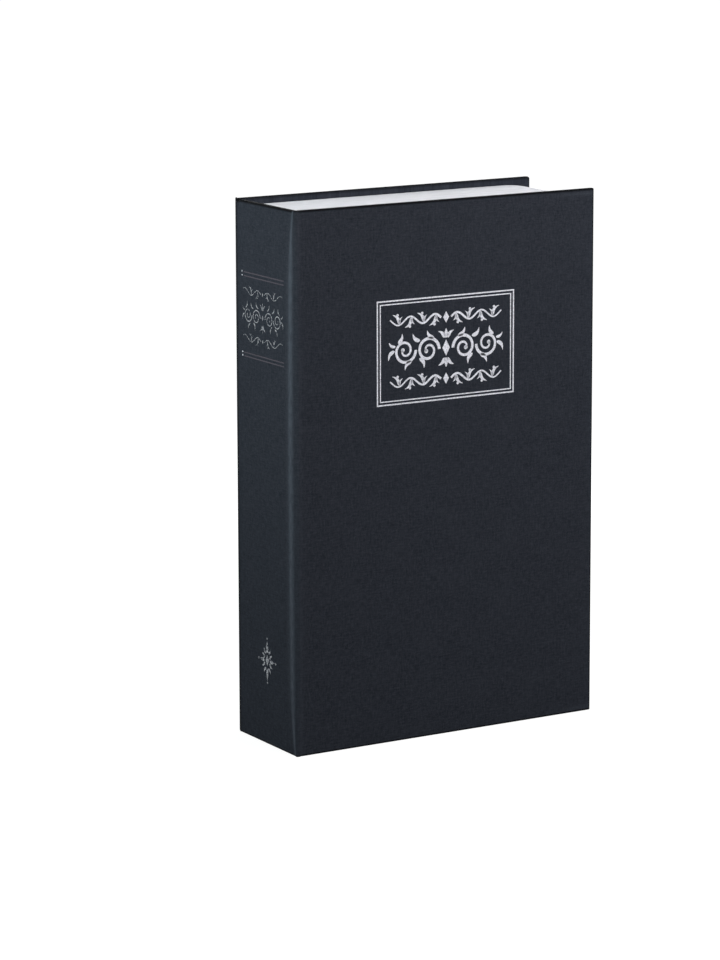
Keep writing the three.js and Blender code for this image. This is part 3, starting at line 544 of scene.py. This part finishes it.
def case_cloth(name, side):
    """One sheet of cloth from the spine over a joint to a cover's fore edge, wrapped round the boards.

    A place on it is given by s, the length along the route from the seam, and by the height z."""
    middle, joint_index, panel_index = case_route(side, HEIGHT / 2)
    along = [0.0]
    for a, b in zip(middle, middle[1:]):
        along.append(along[-1] + (b - a).length)
    length = along[-1] + BORDER
    joint_at, panel_at = along[joint_index], along[panel_index]
    corner = FRONT_CORNER if side < 0 else BACK_CORNER
    corner_s = length - corner
    levels = [
        *evenly(BORDER, NEAR_END, 7),
        *evenly(NEAR_END, HEIGHT - NEAR_END, 54),
        *evenly(HEIGHT - NEAR_END, HEIGHT - BORDER, 7),
        HEIGHT - BORDER,
    ]
    sections = {}
    verts, flats, rubs_and_highlights, rim_shades, faces = [], [], [], [], []

    def section(z):
        """The route at a height, with the direction into the board at each of its points."""
        key = round(z / MM, 4)
        if key not in sections:
            route = case_route(side, z)[0]
            into = []
            for index in range(len(route)):
                before = route[max(index - 1, 0)]
                after = route[min(index + 1, len(route) - 1)]
                ahead = (after - before).normalized()
                into.append(Vector((-ahead.y, ahead.x)) if side < 0 else Vector((ahead.y, -ahead.x)))
            sections[key] = route, into
        return sections[key]

    def depth_at(s):
        """The case's thickness, which is the cloth's alone in the joint."""
        into = ramp(s, joint_at - 0.4 * MM, joint_at + 0.6 * MM)
        out = 1 - ramp(s, panel_at - 0.6 * MM, panel_at + 0.4 * MM)
        return CASE_DEPTH + (JOINT_DEPTH - CASE_DEPTH) * min(into, out)

    def at(s, z, depth):
        route, into = section(z)
        index = max(i for i in range(len(along)) if along[i] <= s + 1e-9)
        if index + 1 < len(along):
            share = (s - along[index]) / (along[index + 1] - along[index])
            flat = route[index].lerp(route[index + 1], share)
            normal = into[index].lerp(into[index + 1], share).normalized()
        else:
            flat = route[-1] + (route[-1] - route[-2]).normalized() * (s - along[-1])
            normal = into[-1]
        flat = flat + normal * depth
        return Vector((flat.x, flat.y, z))

    def front_rub_and_highlight(s, z):
        """Painted highlight on the front sheet's ridge and over the joint, and wear near the cover's two
        outer corners.
        """
        ridge_wide = (1.75 - 0.8 * ramp(abs(2 * z / HEIGHT - 1), 0.7, 1)) * MM
        over_joint = ramp(s, joint_at, joint_at + MM) * (1 - ramp(s, panel_at, panel_at + 2.2 * MM))
        near_edge = bump_at(min(z, HEIGHT - z), 2.1 * MM, 0.8 * MM)
        return max(
            0.9 * bump_at(s, joint_at + 0.5 * MM, ridge_wide),
            0.12 * over_joint,
            0.28 * near_edge * ramp(s, length - 26 * MM, length - 7 * MM),
        )

    def back_shade(s):
        """Painted shade on the back joint: a thin dark line along the spine's edge, and a weaker one over the
        joint.
        """
        return max(
            0.8 * bump_at(s, joint_at + 0.4 * MM, 1.3 * MM),
            0.4 * bump_at(s, (joint_at + panel_at) / 2, (panel_at - joint_at) / 2),
        )

    def head_rise(s, z):
        """How the cloth's head stands up over the back joint and dips beside it."""
        lift = bump_at(s, joint_at + 2.6 * MM, 1.3 * MM) * 0.5 * MM
        dip = bump_at(s, joint_at - 1.6 * MM, 1.6 * MM) * 0.4 * MM
        return (lift - dip) * ramp(z, HEIGHT - 6 * MM, HEIGHT)

    def put(s, z, depth, beyond=0.0, outward=(0, 0), rub_and_highlight=0.0, rim_shade=0.0):
        point = at(s, z, depth)
        outside = depth < CLOTH
        if side > 0:
            point.z += head_rise(s, z)
        # Outside, the front gets painted highlight and some wear, and the back gets painted shade
        if outside and side < 0:
            rub_and_highlight = max(rub_and_highlight, front_rub_and_highlight(s, z))
        elif outside:
            rub_and_highlight, rim_shade = 0.0, max(rim_shade, back_shade(s))
        verts.append(point)
        flats.append((-side * (s + outward[0] * beyond), z + outward[1] * beyond))
        rubs_and_highlights.append(rub_and_highlight)
        rim_shades.append(rim_shade)
        return len(verts) - 1

    def edge_point(order, s, z, outward, thickness=CASE_DEPTH):
        """A point of the turn round the edge, where outward points away from the cover."""
        profile = wrap_profile(thickness)
        inset, depth = profile[order]
        beyond = sum(math.dist(profile[k], profile[k + 1]) for k in range(order))
        low = max(inset, BORDER)
        reach = corner - inset
        if outward[0] == 0:
            s, z = min(s, length - low), inset if outward[1] < 0 else HEIGHT - inset
        elif outward[1] == 0:
            s, z = length - inset, min(max(z, low), HEIGHT - low)
        elif reach < 0:
            s, z = length - inset, inset if outward[1] < 0 else HEIGHT - inset
        else:
            s, z = s + outward[0] * reach, z + outward[1] * reach
        return put(s, z, depth, beyond, outward, EDGE_PAINTED_HIGHLIGHT[order], EDGE_PAINTED_SHADE[order])

    def ring(order):
        """A row of points along the tail, the fore edge and the head, at one step of the turn."""
        turns = [math.pi / 2 * k / CORNER_STEPS for k in range(1, CORNER_STEPS)]
        made = [edge_point(order, s, 0, (0, -1), depth_at(s)) for s in along]
        for turn in turns:
            made.append(edge_point(order, corner_s, corner, (math.sin(turn), -math.cos(turn))))
        made += [edge_point(order, corner_s, z, (1, 0)) for z in levels]
        for turn in turns:
            made.append(edge_point(order, corner_s, HEIGHT - corner, (math.cos(turn), math.sin(turn))))
        return made + [edge_point(order, s, 0, (0, 1), depth_at(s)) for s in reversed(along)]

    grid = [[put(s, z, 0.0) for z in levels] for s in along]
    for a, b in zip(grid, grid[1:]):
        for k in range(len(levels) - 1):
            faces.append((a[k], b[k], b[k + 1], a[k + 1]))
    rings = [ring(order) for order in range(len(EDGE_PAINTED_SHADE))]
    for a, b in zip(rings, rings[1:]):
        for k in range(len(a) - 1):
            faces.append((a[k], b[k], b[k + 1], a[k + 1]))

    made = new_object(name, verts, faces, cloth_material)
    lay_flat(made.data, flats)
    for key, values in (("rub_and_highlight", rubs_and_highlights), ("rim_shade", rim_shades)):
        made.data.attributes.new(key, "FLOAT", "POINT").data.foreach_set("value", values)
    clean_up(made.data)
    soften(made.data, 50)
    return made


front_wrap = case_cloth("case_cloth_front", -1)
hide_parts("front_cloth", "front_joint_cloth", "spine_cloth")
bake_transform(front_wrap)
back_wrap = case_cloth("case_cloth_back", 1)
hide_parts("back_cloth")
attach(back_wrap, "book")


def end_paper(name, route, body):
    """The paper that goes on from a lining over a board's end: a thin folded sheet along a route in mm."""
    gauge, margin, rows = 0.15 * MM, 3.45 * MM, 30
    verts, faces = [], []
    route = [Vector(p) * MM for p in route]
    last = len(route) - 1
    normals = []
    for k in range(len(route)):
        ahead = (route[min(k + 1, last)] - route[max(k - 1, 0)]).normalized()
        normals.append(Vector((ahead.y, -ahead.x)))
    for layer in (0, 1):
        for point, normal in zip(route, normals):
            flat = point - normal * gauge * layer
            for row in range(rows + 1):
                z = margin + (HEIGHT - margin - margin) * row / rows
                verts.append(Vector((flat.x, flat.y, z)))
    wide = rows + 1
    many = len(route) * wide
    for k in range(last):
        for row in range(rows):
            a = k * wide + row
            faces.append((a, a + 1, a + wide + 1, a + wide))
            faces.append((many + a, many + a + wide, many + a + wide + 1, many + a + 1))
    for k in range(last):
        for row in (0, rows):
            a = k * wide + row
            faces.append((a, a + wide, many + a + wide, many + a))
    for k in (0, last):
        for row in range(rows):
            a = k * wide + row
            faces.append((a, many + a, many + a + 1, a + 1))
    made = new_object(name, verts, faces, paper_material)
    clean_up(made.data)
    soften(made.data, 60)
    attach(made, body)


def rounded_turn(before, corner, after, radius=0.7, steps=5):
    """A route from one point to another over a rounded corner."""
    before, corner, after = Vector(before), Vector(corner), Vector(after)
    a = corner + (before - corner).normalized() * radius
    b = corner + (after - corner).normalized() * radius
    shares = [k / steps for k in range(steps + 1)]
    return [before, *[a * (1 - t) ** 2 + corner * 2 * t * (1 - t) + b * t * t for t in shares], after]


lining = 3.43
lining_x, lining_y = SPINE_X / MM + lining, FRONT_Y / MM + lining
spine_end_y, cover_end_x = -SPINE_Y / MM - 0.25, PANEL_X / MM - 0.35
end_paper(
    "spine_end_paper",
    rounded_turn(
        (lining_x, spine_end_y + 2.2),
        (lining_x, spine_end_y),
        (SPINE_X / MM + 0.6, spine_end_y),
    ),
    "book",
)
end_paper(
    "cover_end_paper",
    rounded_turn(
        (cover_end_x, FRONT_Y / MM + 0.75),
        (cover_end_x, lining_y),
        (cover_end_x + 2.4, lining_y),
    ),
    "front_cover",
)


# The page frame
def page_block():
    """The moulded leaves: a frame open at the spine, with a line for each few leaves along its outside."""
    rng = random.Random(11)
    x0, x1 = page_lo.x, page_hi.x
    y0, y1 = page_lo.y, page_hi.y
    z0, z1 = page_lo.z, page_hi.z
    gap = 0.8 * MM
    pocket_x, pocket_z0, pocket_z1 = lid_hi.x + gap, lid_lo.z - gap, lid_hi.z + gap
    round_fore, round_outline, round_pocket = 7 * MM, 1.5 * MM, 0.6 * MM

    def setback(y):
        """How far the rounded fore edge lies back at a level."""
        past = max(0.0, abs(y - (y0 + y1) / 2) - ((y1 - y0) / 2 - round_fore))
        return round_fore - math.sqrt(max(0.0, round_fore ** 2 - past ** 2))

    def outline(y, edge, low, high, rounding):
        """Along the tail, the fore edge and the head at a level, over two round corners."""
        straight = [x0 + (edge - rounding - x0) * step / 5 for step in range(1, 5)]
        points = [Vector((x, y, low)) for x in (x0, *straight)]
        for centre, first in ((low + rounding, -90), (high - rounding, 0)):
            for step in range(7):
                turn = math.radians(first + 15 * step)
                x = edge - rounding + rounding * math.cos(turn)
                points.append(Vector((x, y, centre + rounding * math.sin(turn))))
        return points + [Vector((x, y, high)) for x in (*reversed(straight), x0)]

    # Depth below the first or last level, and how far the outline lies in there
    lead = [(0.0, 0.55 * MM), (0.12 * MM, 0.25 * MM), (0.3 * MM, 0.08 * MM), (0.55 * MM, 0.0)]
    levels = [(y0 + depth, inset) for depth, inset in lead]
    y = y0 + 0.8 * MM
    while y < y1 - 0.9 * MM:
        thick = rng.uniform(0.28, 0.62) * MM
        groove = rng.choice([0.02, 0.03, 0.05, 0.05, 0.09]) * MM
        uneven = rng.uniform(0.0, 0.015) * MM
        levels += [(y, 0.0), (y + thick * 0.7, uneven), (y + thick * 0.85, groove)]
        y += thick
    levels += [(y1 - depth, inset * 0.4) for depth, inset in reversed(lead)]

    verts, faces, marks = [], [], []
    outers, inners = [], []
    for y, inset in levels:
        outside = outline(y, x1 - inset - setback(y), z0 + inset, z1 - inset, round_outline)
        inside = outline(y, pocket_x, pocket_z0, pocket_z1, round_pocket)
        for kept, points in ((outers, outside), (inners, inside)):
            kept.append(list(range(len(verts), len(verts) + len(points))))
            verts += points
    count = len(outers[0])

    def face(corners, plain):
        faces.append(corners)
        marks.append(1 if plain else 0)

    for a, b, c, d in zip(outers, outers[1:], inners, inners[1:]):
        for k in range(count - 1):
            face((a[k], a[k + 1], b[k + 1], b[k]), False)
            face((c[k + 1], c[k], d[k], d[k + 1]), True)
        face((a[0], b[0], d[0], c[0]), True)
        face((b[-1], a[-1], c[-1], d[-1]), True)
    for k in range(count - 1):
        face((outers[0][k + 1], outers[0][k], inners[0][k], inners[0][k + 1]), True)
        face((outers[-1][k], outers[-1][k + 1], inners[-1][k + 1], inners[-1][k]), True)
    made = new_object("page_block", verts, faces, leaf_material)
    made.data.materials.append(plastic_material)
    made.data.polygons.foreach_set("material_index", marks)
    clean_up(made.data)
    soften(made.data, 34)
    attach(made, "book")
    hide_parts("page_frame")


page_block()


# Foil work
def heading(angle):
    return Vector((math.cos(angle), math.sin(angle)))


def left_of(ahead):
    return Vector((-ahead.y, ahead.x))


class Foil:
    """Collects flat shapes on one face of the case and makes them one pressed piece."""

    def __init__(self):
        self.pieces = []

    def band(self, points, widths):
        """A strip along points, kept as its left and right edges."""
        pairs = []
        for k, point in enumerate(points):
            ahead = (points[min(k + 1, len(points) - 1)] - points[max(k - 1, 0)]).normalized()
            across = left_of(ahead) * (widths[k] / 2)
            pairs.append((point + across, point - across))
        self.pieces.append(("band", pairs))

    def shape(self, points):
        self.pieces.append(("shape", points))

    def bar(self, a, b, width):
        self.band([a, b], [width, width])

    def frame(self, x0, x1, z0, z1, width):
        """A rectangle of four strips, which lie inside the given sides."""

        def corners(w):
            return [
                Vector((x0 + w, z0 + w)),
                Vector((x1 - w, z0 + w)),
                Vector((x1 - w, z1 - w)),
                Vector((x0 + w, z1 - w)),
            ]

        pairs = list(zip(corners(0), corners(width)))
        self.pieces.append(("band", pairs + pairs[:1]))

    def dot(self, centre, radius, steps=14):
        self.shape([centre + heading(k * math.tau / steps) * radius for k in range(steps)])

    def lozenge(self, centre, wide, tall):
        self.shape([centre + Vector(p) for p in ((wide, 0), (0, tall), (-wide, 0), (0, -tall))])

    def make(self, name, to_place, to_flat, material, body):
        verts, faces, flats = [], [], []

        def put(point, lift):
            verts.append(to_place(point, lift))
            flats.append(to_flat(point))
            return len(verts) - 1

        for kind, data in self.pieces:
            if kind == "band":
                tops = [(put(a, FOIL_LIFT), put(b, FOIL_LIFT)) for a, b in data]
                feet = [(put(a, 0), put(b, 0)) for a, b in data]
                for k in range(len(tops) - 1):
                    (a, b), (c, d) = tops[k], tops[k + 1]
                    (e, f), (g, h) = feet[k], feet[k + 1]
                    faces += [(a, b, d, c), (e, a, c, g), (b, f, h, d)]
            else:
                tops = [put(p, FOIL_LIFT) for p in data]
                feet = [put(p, 0) for p in data]
                faces.append(tuple(tops))
                for k in range(len(tops)):
                    n = (k + 1) % len(tops)
                    faces.append((feet[k], feet[n], tops[n], tops[k]))
        made = new_object(name, verts, faces, material)
        lay_flat(made.data, flats)
        clean_up(made.data, join=False)
        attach(made, body)


def scroll(foil_work, centre, radius, start, sweep, wide, thin, steps=44):
    """A spiral stem round a centre, from wide at its outer end to thin, with a bud at its heart."""
    shrink = 0.2
    points, widths = [], []
    for step in range(steps + 1):
        t = step / steps
        reach = radius * (1 - (1 - shrink) * t ** 1.15)
        points.append(centre + heading(start + sweep * t) * reach)
        widths.append(wide + (thin - wide) * t)
    foil_work.band(points, widths)
    foil_work.dot(points[-1], thin * 1.15)


def leaf(foil_work, root, tip, fat, bend, steps=10):
    """A teardrop leaf from its root to its tip."""
    ahead = tip - root
    side = left_of(ahead)
    points, widths = [], []
    for step in range(steps + 1):
        t = step / steps
        points.append(root + ahead * t + side * bend * math.sin(math.pi * t))
        widths.append(fat * (math.sin(math.pi * (t ** 0.6)) * 0.92 + 0.08))
    foil_work.band(points, widths)


# A vine's two leaves in each bend: root and tip beside the bend, the tip's rise, thickness and bend
VINE_LEAVES = ((-0.4, 2.9, 3.0, 1.45, 0.2), (-0.8, -2.2, 1.9, 0.95, -0.2))
# One side's two scrolls: centre, radius, way round, and thickness at the outer end and the heart
SCROLLS = (((9.2, -0.3), 5.7, -1, 1.45, 0.85), ((21.2, 0.3), 5.6, 1, 1.35, 0.8))
# One side's leaves round the scrolls: root, tip, thickness and bend
SCROLL_LEAVES = (
    ((6.2, 5.0), (9.8, 8.4), 1.8, -0.2),
    ((13.4, 4.2), (17.2, 7.6), 1.8, -0.2),
    ((13.8, -3.6), (11.4, -8.0), 1.8, -0.2),
    ((17.8, -4.6), (21.2, -8.2), 1.8, 0.2),
    ((24.8, 4.0), (22.6, 8.0), 1.7, 0.2),
    ((26.4, 0.6), (29.6, -3.4), 1.7, 0.2),
    ((26.0, 2.6), (29.4, 4.6), 1.3, -0.2),
)


def running_vine(foil_work, at, weight, row, reach, wave):
    """A stem that waves away from a lozenge on both sides, with two leaves and a berry in each bend."""
    swing, first, steps = 1.75, 2.6, 60
    foil_work.lozenge(at(0, row), 1.5 * weight, 2.5 * weight)
    for side in (-1, 1):
        points, widths = [], []
        for step in range(steps + 1):
            x = first + (reach - first) * step / steps
            points.append(at(side * x, row + swing * math.sin(math.tau * (x - first) / wave)))
            widths.append((1 - 0.4 * step / steps) * weight)
        foil_work.band(points, widths)
        for bend in range(int((reach - first) / (wave / 2))):
            x = first + wave * (bend / 2 + 0.25)
            way = 1 if bend % 2 else -1
            for root_x, tip_x, rise, fat, curl in VINE_LEAVES:
                root = at(side * (x + root_x), row - way * swing * 0.7)
                tip = at(side * (x + tip_x), row + way * rise)
                leaf(foil_work, root, tip, fat * weight, side * way * curl)
            foil_work.dot(at(side * (x + 0.3), row + way * 2.7), 0.62 * weight)


def fleuron_band(foil_work, centre, wide, tall, weight, wave):
    """A common vine-scroll ornament: scrolls about a lozenge, between two running vines."""

    def at(x, z):
        return centre + Vector((x * wide, z * tall))

    foil_work.lozenge(at(0, 0), 1.9 * weight, 3.6 * weight)
    for side in (-1, 1):
        start = math.pi if side > 0 else 0
        for (x, z), radius, way, thick, thin in SCROLLS:
            sweep = way * side * math.radians(560)
            scroll(foil_work, at(side * x, z), radius * wide, start, sweep, thick * weight, thin * weight)
        for way in (-1, 1):
            root, tip = at(side * 0.9, way * 4.4), at(side * 4.0, way * 7.6)
            leaf(foil_work, root, tip, 1.6 * weight, side * way * 0.16)
        for (root_x, root_z), (tip_x, tip_z), fat, bend in SCROLL_LEAVES:
            root, tip = at(side * root_x, root_z), at(side * tip_x, tip_z)
            leaf(foil_work, root, tip, fat * weight, side * bend)
    for way in (-1, 1):
        leaf(foil_work, at(0, way * 4.4), at(0, way * 8.6), 2 * weight, 0)
        running_vine(foil_work, at, weight, way * 13.6, 28.8, wave)


def printers_flower(foil_work, centre, size):
    """A small printers' flower: a lozenge with leaves and dots about it."""
    foil_work.lozenge(centre, 1.7 * size, 3.0 * size)
    for turn in range(4):
        ahead = heading(math.pi / 2 * turn) * size
        side = left_of(ahead)
        near, far = (4.1, 10.5) if turn % 2 else (2.7, 7.4)
        leaf(foil_work, centre + ahead * near, centre + ahead * far, 2 * size, 0)
        foil_work.dot(centre + ahead * (far + 1.3), 0.6 * size)
        for way in (-1, 1):
            root = centre + ahead * near + side * way * 0.9
            tip = centre + ahead * (near + 2.6) + side * way * 3.3
            leaf(foil_work, root, tip, 1.3 * size, way * 0.22)


def on_front(point, lift):
    return Vector((point.x, FRONT_Y - lift, point.y))


def front_flat(point):
    return (2 * SPINE_Y + JOINT_LENGTH + point.x - PANEL_X, point.y)


def on_spine(point, lift):
    return Vector((SPINE_X - lift, point.x, point.y))


def spine_flat(point):
    return (SPINE_Y - point.x, point.y)


def front_panel():
    """Two rules round an ornament, on the front cover."""
    left, right, low, high = -36.3 * MM, 34.8 * MM, 151.5 * MM, 197.8 * MM
    outer_rule, inner_rule, inner = 0.62 * MM, 0.5 * MM, 1.55 * MM
    work = Foil()
    work.frame(left, right, low, high, outer_rule)
    work.frame(left + inner, right - inner, low + inner, high - inner, inner_rule)
    fleuron_band(work, Vector(((left + right) / 2, (low + high) / 2)), MM, MM, MM, 12.6)
    work.make("front_foil", on_front, front_flat, front_foil, "front_cover")


def spine_panel():
    """Worn rules with an end dot each, an ornament between them, and a flower near the tail."""
    ornaments, rules, dots = Foil(), Foil(), Foil()
    for level in (208.8, 207.1, 173.2, 171.6):
        rules.bar(Vector((-18.6 * MM, level * MM)), Vector((16.5 * MM, level * MM)), 0.52 * MM)
        dots.dot(Vector((17.9 * MM, (level + 0.15) * MM)), 0.36 * MM)
    fleuron_band(ornaments, Vector((0, 190.2 * MM)), 0.6 * MM, 0.76 * MM, 0.34 * MM, 18.9)
    printers_flower(ornaments, Vector((-2 * MM, 38 * MM)), 0.85 * MM)
    ornaments.make("spine_foil", on_spine, spine_flat, spine_foil, "book")
    rules.make("spine_rules", on_spine, spine_flat, worn_foil, "book")
    dots.make("spine_dots", on_spine, spine_flat, front_foil, "book")


front_panel()
spine_panel()

# Solids that keep their own shape
own_shape = [(f"{part}_board", board_material) for part in ("front", "spine", "back")]
own_shape += [(node, paper_material) for node in ("front_pastedown", "spine_lining", "back_pastedown")]
own_shape += [(f"lock_wafer_{index}", brass_material) for index in range(1, 6)]
for node, material in own_shape:
    slots = frame["nodes"][node].data.materials
    slots.clear()
    slots.append(material)

# Solids whose edges are rounded: node, name, slot, material and the rounding in mm
for node, name, slot, material, width in (
    ("box_tray", "tray_sheet", "box_paint", coat_material, 0.18),
    ("box_lid", "lid_sheet", "box_paint", coat_material, 0.18),
    ("lid_hinge_pin", "hinge_pin", "plain_steel", steel_material, 0.12),
    ("cam_keeper", "keeper_angle", "plain_steel", steel_material, 0.12),
    *[(f"tray_rivet_{k}", f"rivet_{k}", "rivet_alloy", alloy_material, 0.12) for k in range(1, 5)],
    ("lock_housing", "lock_body", "lock_chrome", chrome_material, 0.15),
    ("lock_nut", "nut", "plain_steel", steel_material, 0.2),
    ("lock_plug", "plug", "plug_brass", brass_material, 0.08),
    ("turn_stop_washer", "stop_washer", "plain_steel", steel_material, 0.08),
    ("lock_cam", "cam", "plain_steel", steel_material, 0.15),
    ("cam_screw", "screw", "plain_steel", steel_material, 0.12),
    ("key_1", "key_first", "key_nickel", nickel_material, 0.15),
    ("key_2", "key_second", "key_nickel", nickel_material, 0.15),
):
    refined(node, name, slot, material, width * MM)


# Floor, light and camera
def seen_rays(tree):
    """1 on the rays that show the white backdrop: the camera's, and those that gloss and glass send on."""
    ray = tree.nodes.new("ShaderNodeLightPath")
    total = ray.outputs["Is Camera Ray"]
    for name in ("Is Glossy Ray", "Is Transmission Ray"):
        both = tree.nodes.new("ShaderNodeMath")
        both.operation = "MAXIMUM"
        tree.links.new(total, both.inputs[0])
        tree.links.new(ray.outputs[name], both.inputs[1])
        total = both.outputs[0]
    return total


def floor():
    """White paper that glows a little less near the part, so that it stays white and keeps the shadow."""
    size, below = 6.0, 0.05 * MM
    near, far, near_glow, far_glow = 0.12, 0.8, 0.88, 1.0
    shader = Shader("floor")
    distance = shader.add("ShaderNodeVectorMath", operation="LENGTH")
    shader.link(shader.place(), distance.inputs[0])
    strength = shader.span(distance.outputs["Value"], near, far, near_glow, far_glow)
    glow = shader.add("ShaderNodeEmission")
    shader.link(shader.math("MULTIPLY", strength, seen_rays(shader.tree)), glow.inputs["Strength"])
    both = shader.add("ShaderNodeAddShader")
    shader.link(shader.surface.outputs[0], both.inputs[0])
    shader.link(glow.outputs[0], both.inputs[1])
    shader.link(both.outputs[0], shader.output.inputs["Surface"])
    corners = [(-size, -size, 0), (size, -size, 0), (size, size, 0), (-size, size, 0)]
    paper = shader.set(Base_Color=FLOOR_GREY, Roughness=0.9, Specular_IOR_Level=0.0)
    made = new_object("floor", corners, [(0, 1, 2, 3)], paper)
    made.location.z = -below


def area_light(name, place, aim, size, power, colour=(1, 1, 1)):
    data = bpy.data.lights.new(name, "AREA")
    data.shape = "DISK"
    data.size = size
    data.energy = power
    data.color = colour
    made = add_object(name, data)
    made.location = place
    made.rotation_mode = "QUATERNION"
    made.rotation_quaternion = (Vector(aim) - Vector(place)).to_track_quat("-Z", "Y")


def world():
    """White where it is seen, and a weak cool light on the part."""
    made = bpy.data.worlds.new("studio")
    bpy.context.scene.world = made
    made.use_nodes = True
    tree = made.node_tree
    tree.nodes.clear()
    out = tree.nodes.new("ShaderNodeOutputWorld")
    mix = tree.nodes.new("ShaderNodeMixShader")
    tree.links.new(seen_rays(tree), mix.inputs[0])
    for index, colour, strength in ((1, WORLD_BLUE, 0.1785), (2, (1, 1, 1), 1)):
        light = tree.nodes.new("ShaderNodeBackground")
        light.inputs["Color"].default_value = (*colour, 1)
        light.inputs["Strength"].default_value = strength
        tree.links.new(light.outputs[0], mix.inputs[index])
    tree.links.new(mix.outputs[0], out.inputs["Surface"])


def camera():
    """The photograph's view: turned about the book's middle, then moved aside and up in its own plane."""
    azimuth, elevation, roll = (math.radians(x) for x in (-30.953, 9.888, -0.155))
    middle, distance, aside, above = Vector((0, 0, 0.12)), 1.66849, -0.0243, 0.03383
    focal_pixels, frame_pixels, sensor = 3728.4, 960, 36
    back = Vector((
        math.sin(azimuth) * math.cos(elevation),
        -math.cos(azimuth) * math.cos(elevation),
        math.sin(elevation),
    ))
    right = Vector((math.cos(azimuth), math.sin(azimuth), 0))
    up = back.cross(right)
    place = middle + back * distance + right * aside + up * above
    turned_right = right * math.cos(roll) + up * math.sin(roll)
    turned_up = up * math.cos(roll) - right * math.sin(roll)
    data = bpy.data.cameras.new("camera")
    data.sensor_width = sensor
    data.lens = focal_pixels * sensor / frame_pixels
    data.shift_y = -0.1
    data.clip_start, data.clip_end = 0.05, 50
    made = add_object("camera", data)
    made.matrix_world = Matrix((
        (turned_right.x, turned_up.x, back.x, place.x),
        (turned_right.y, turned_up.y, back.y, place.y),
        (turned_right.z, turned_up.z, back.z, place.z),
        (0, 0, 0, 1),
    ))
    bpy.context.scene.camera = made


floor()
upper_book = (0.0, 0.0, 0.13)
area_light("spine_light", (-0.31, 0.0, 0.29), (-0.0775, 0, 0.18), 0.24, 0.96, (0.89, 0.98, 0.94))
area_light("front_light", (0.24, -0.46, 0.48), upper_book, 0.4, 3.6, (1, 0.98, 0.95))
area_light("head_light", (-0.02, -0.26, 0.44), (-0.01, -0.03, 0.23), 0.3, 0.27, (1, 0.96, 0.9))
area_light("top_light", (0.1, 0.15, 1.3), upper_book, 0.9, 1.1)
area_light("back_light", (0.42, 0.5, 0.3), upper_book, 0.5, 2.8)
world()
bpy.context.scene.view_settings.view_transform = "Standard"
camera()
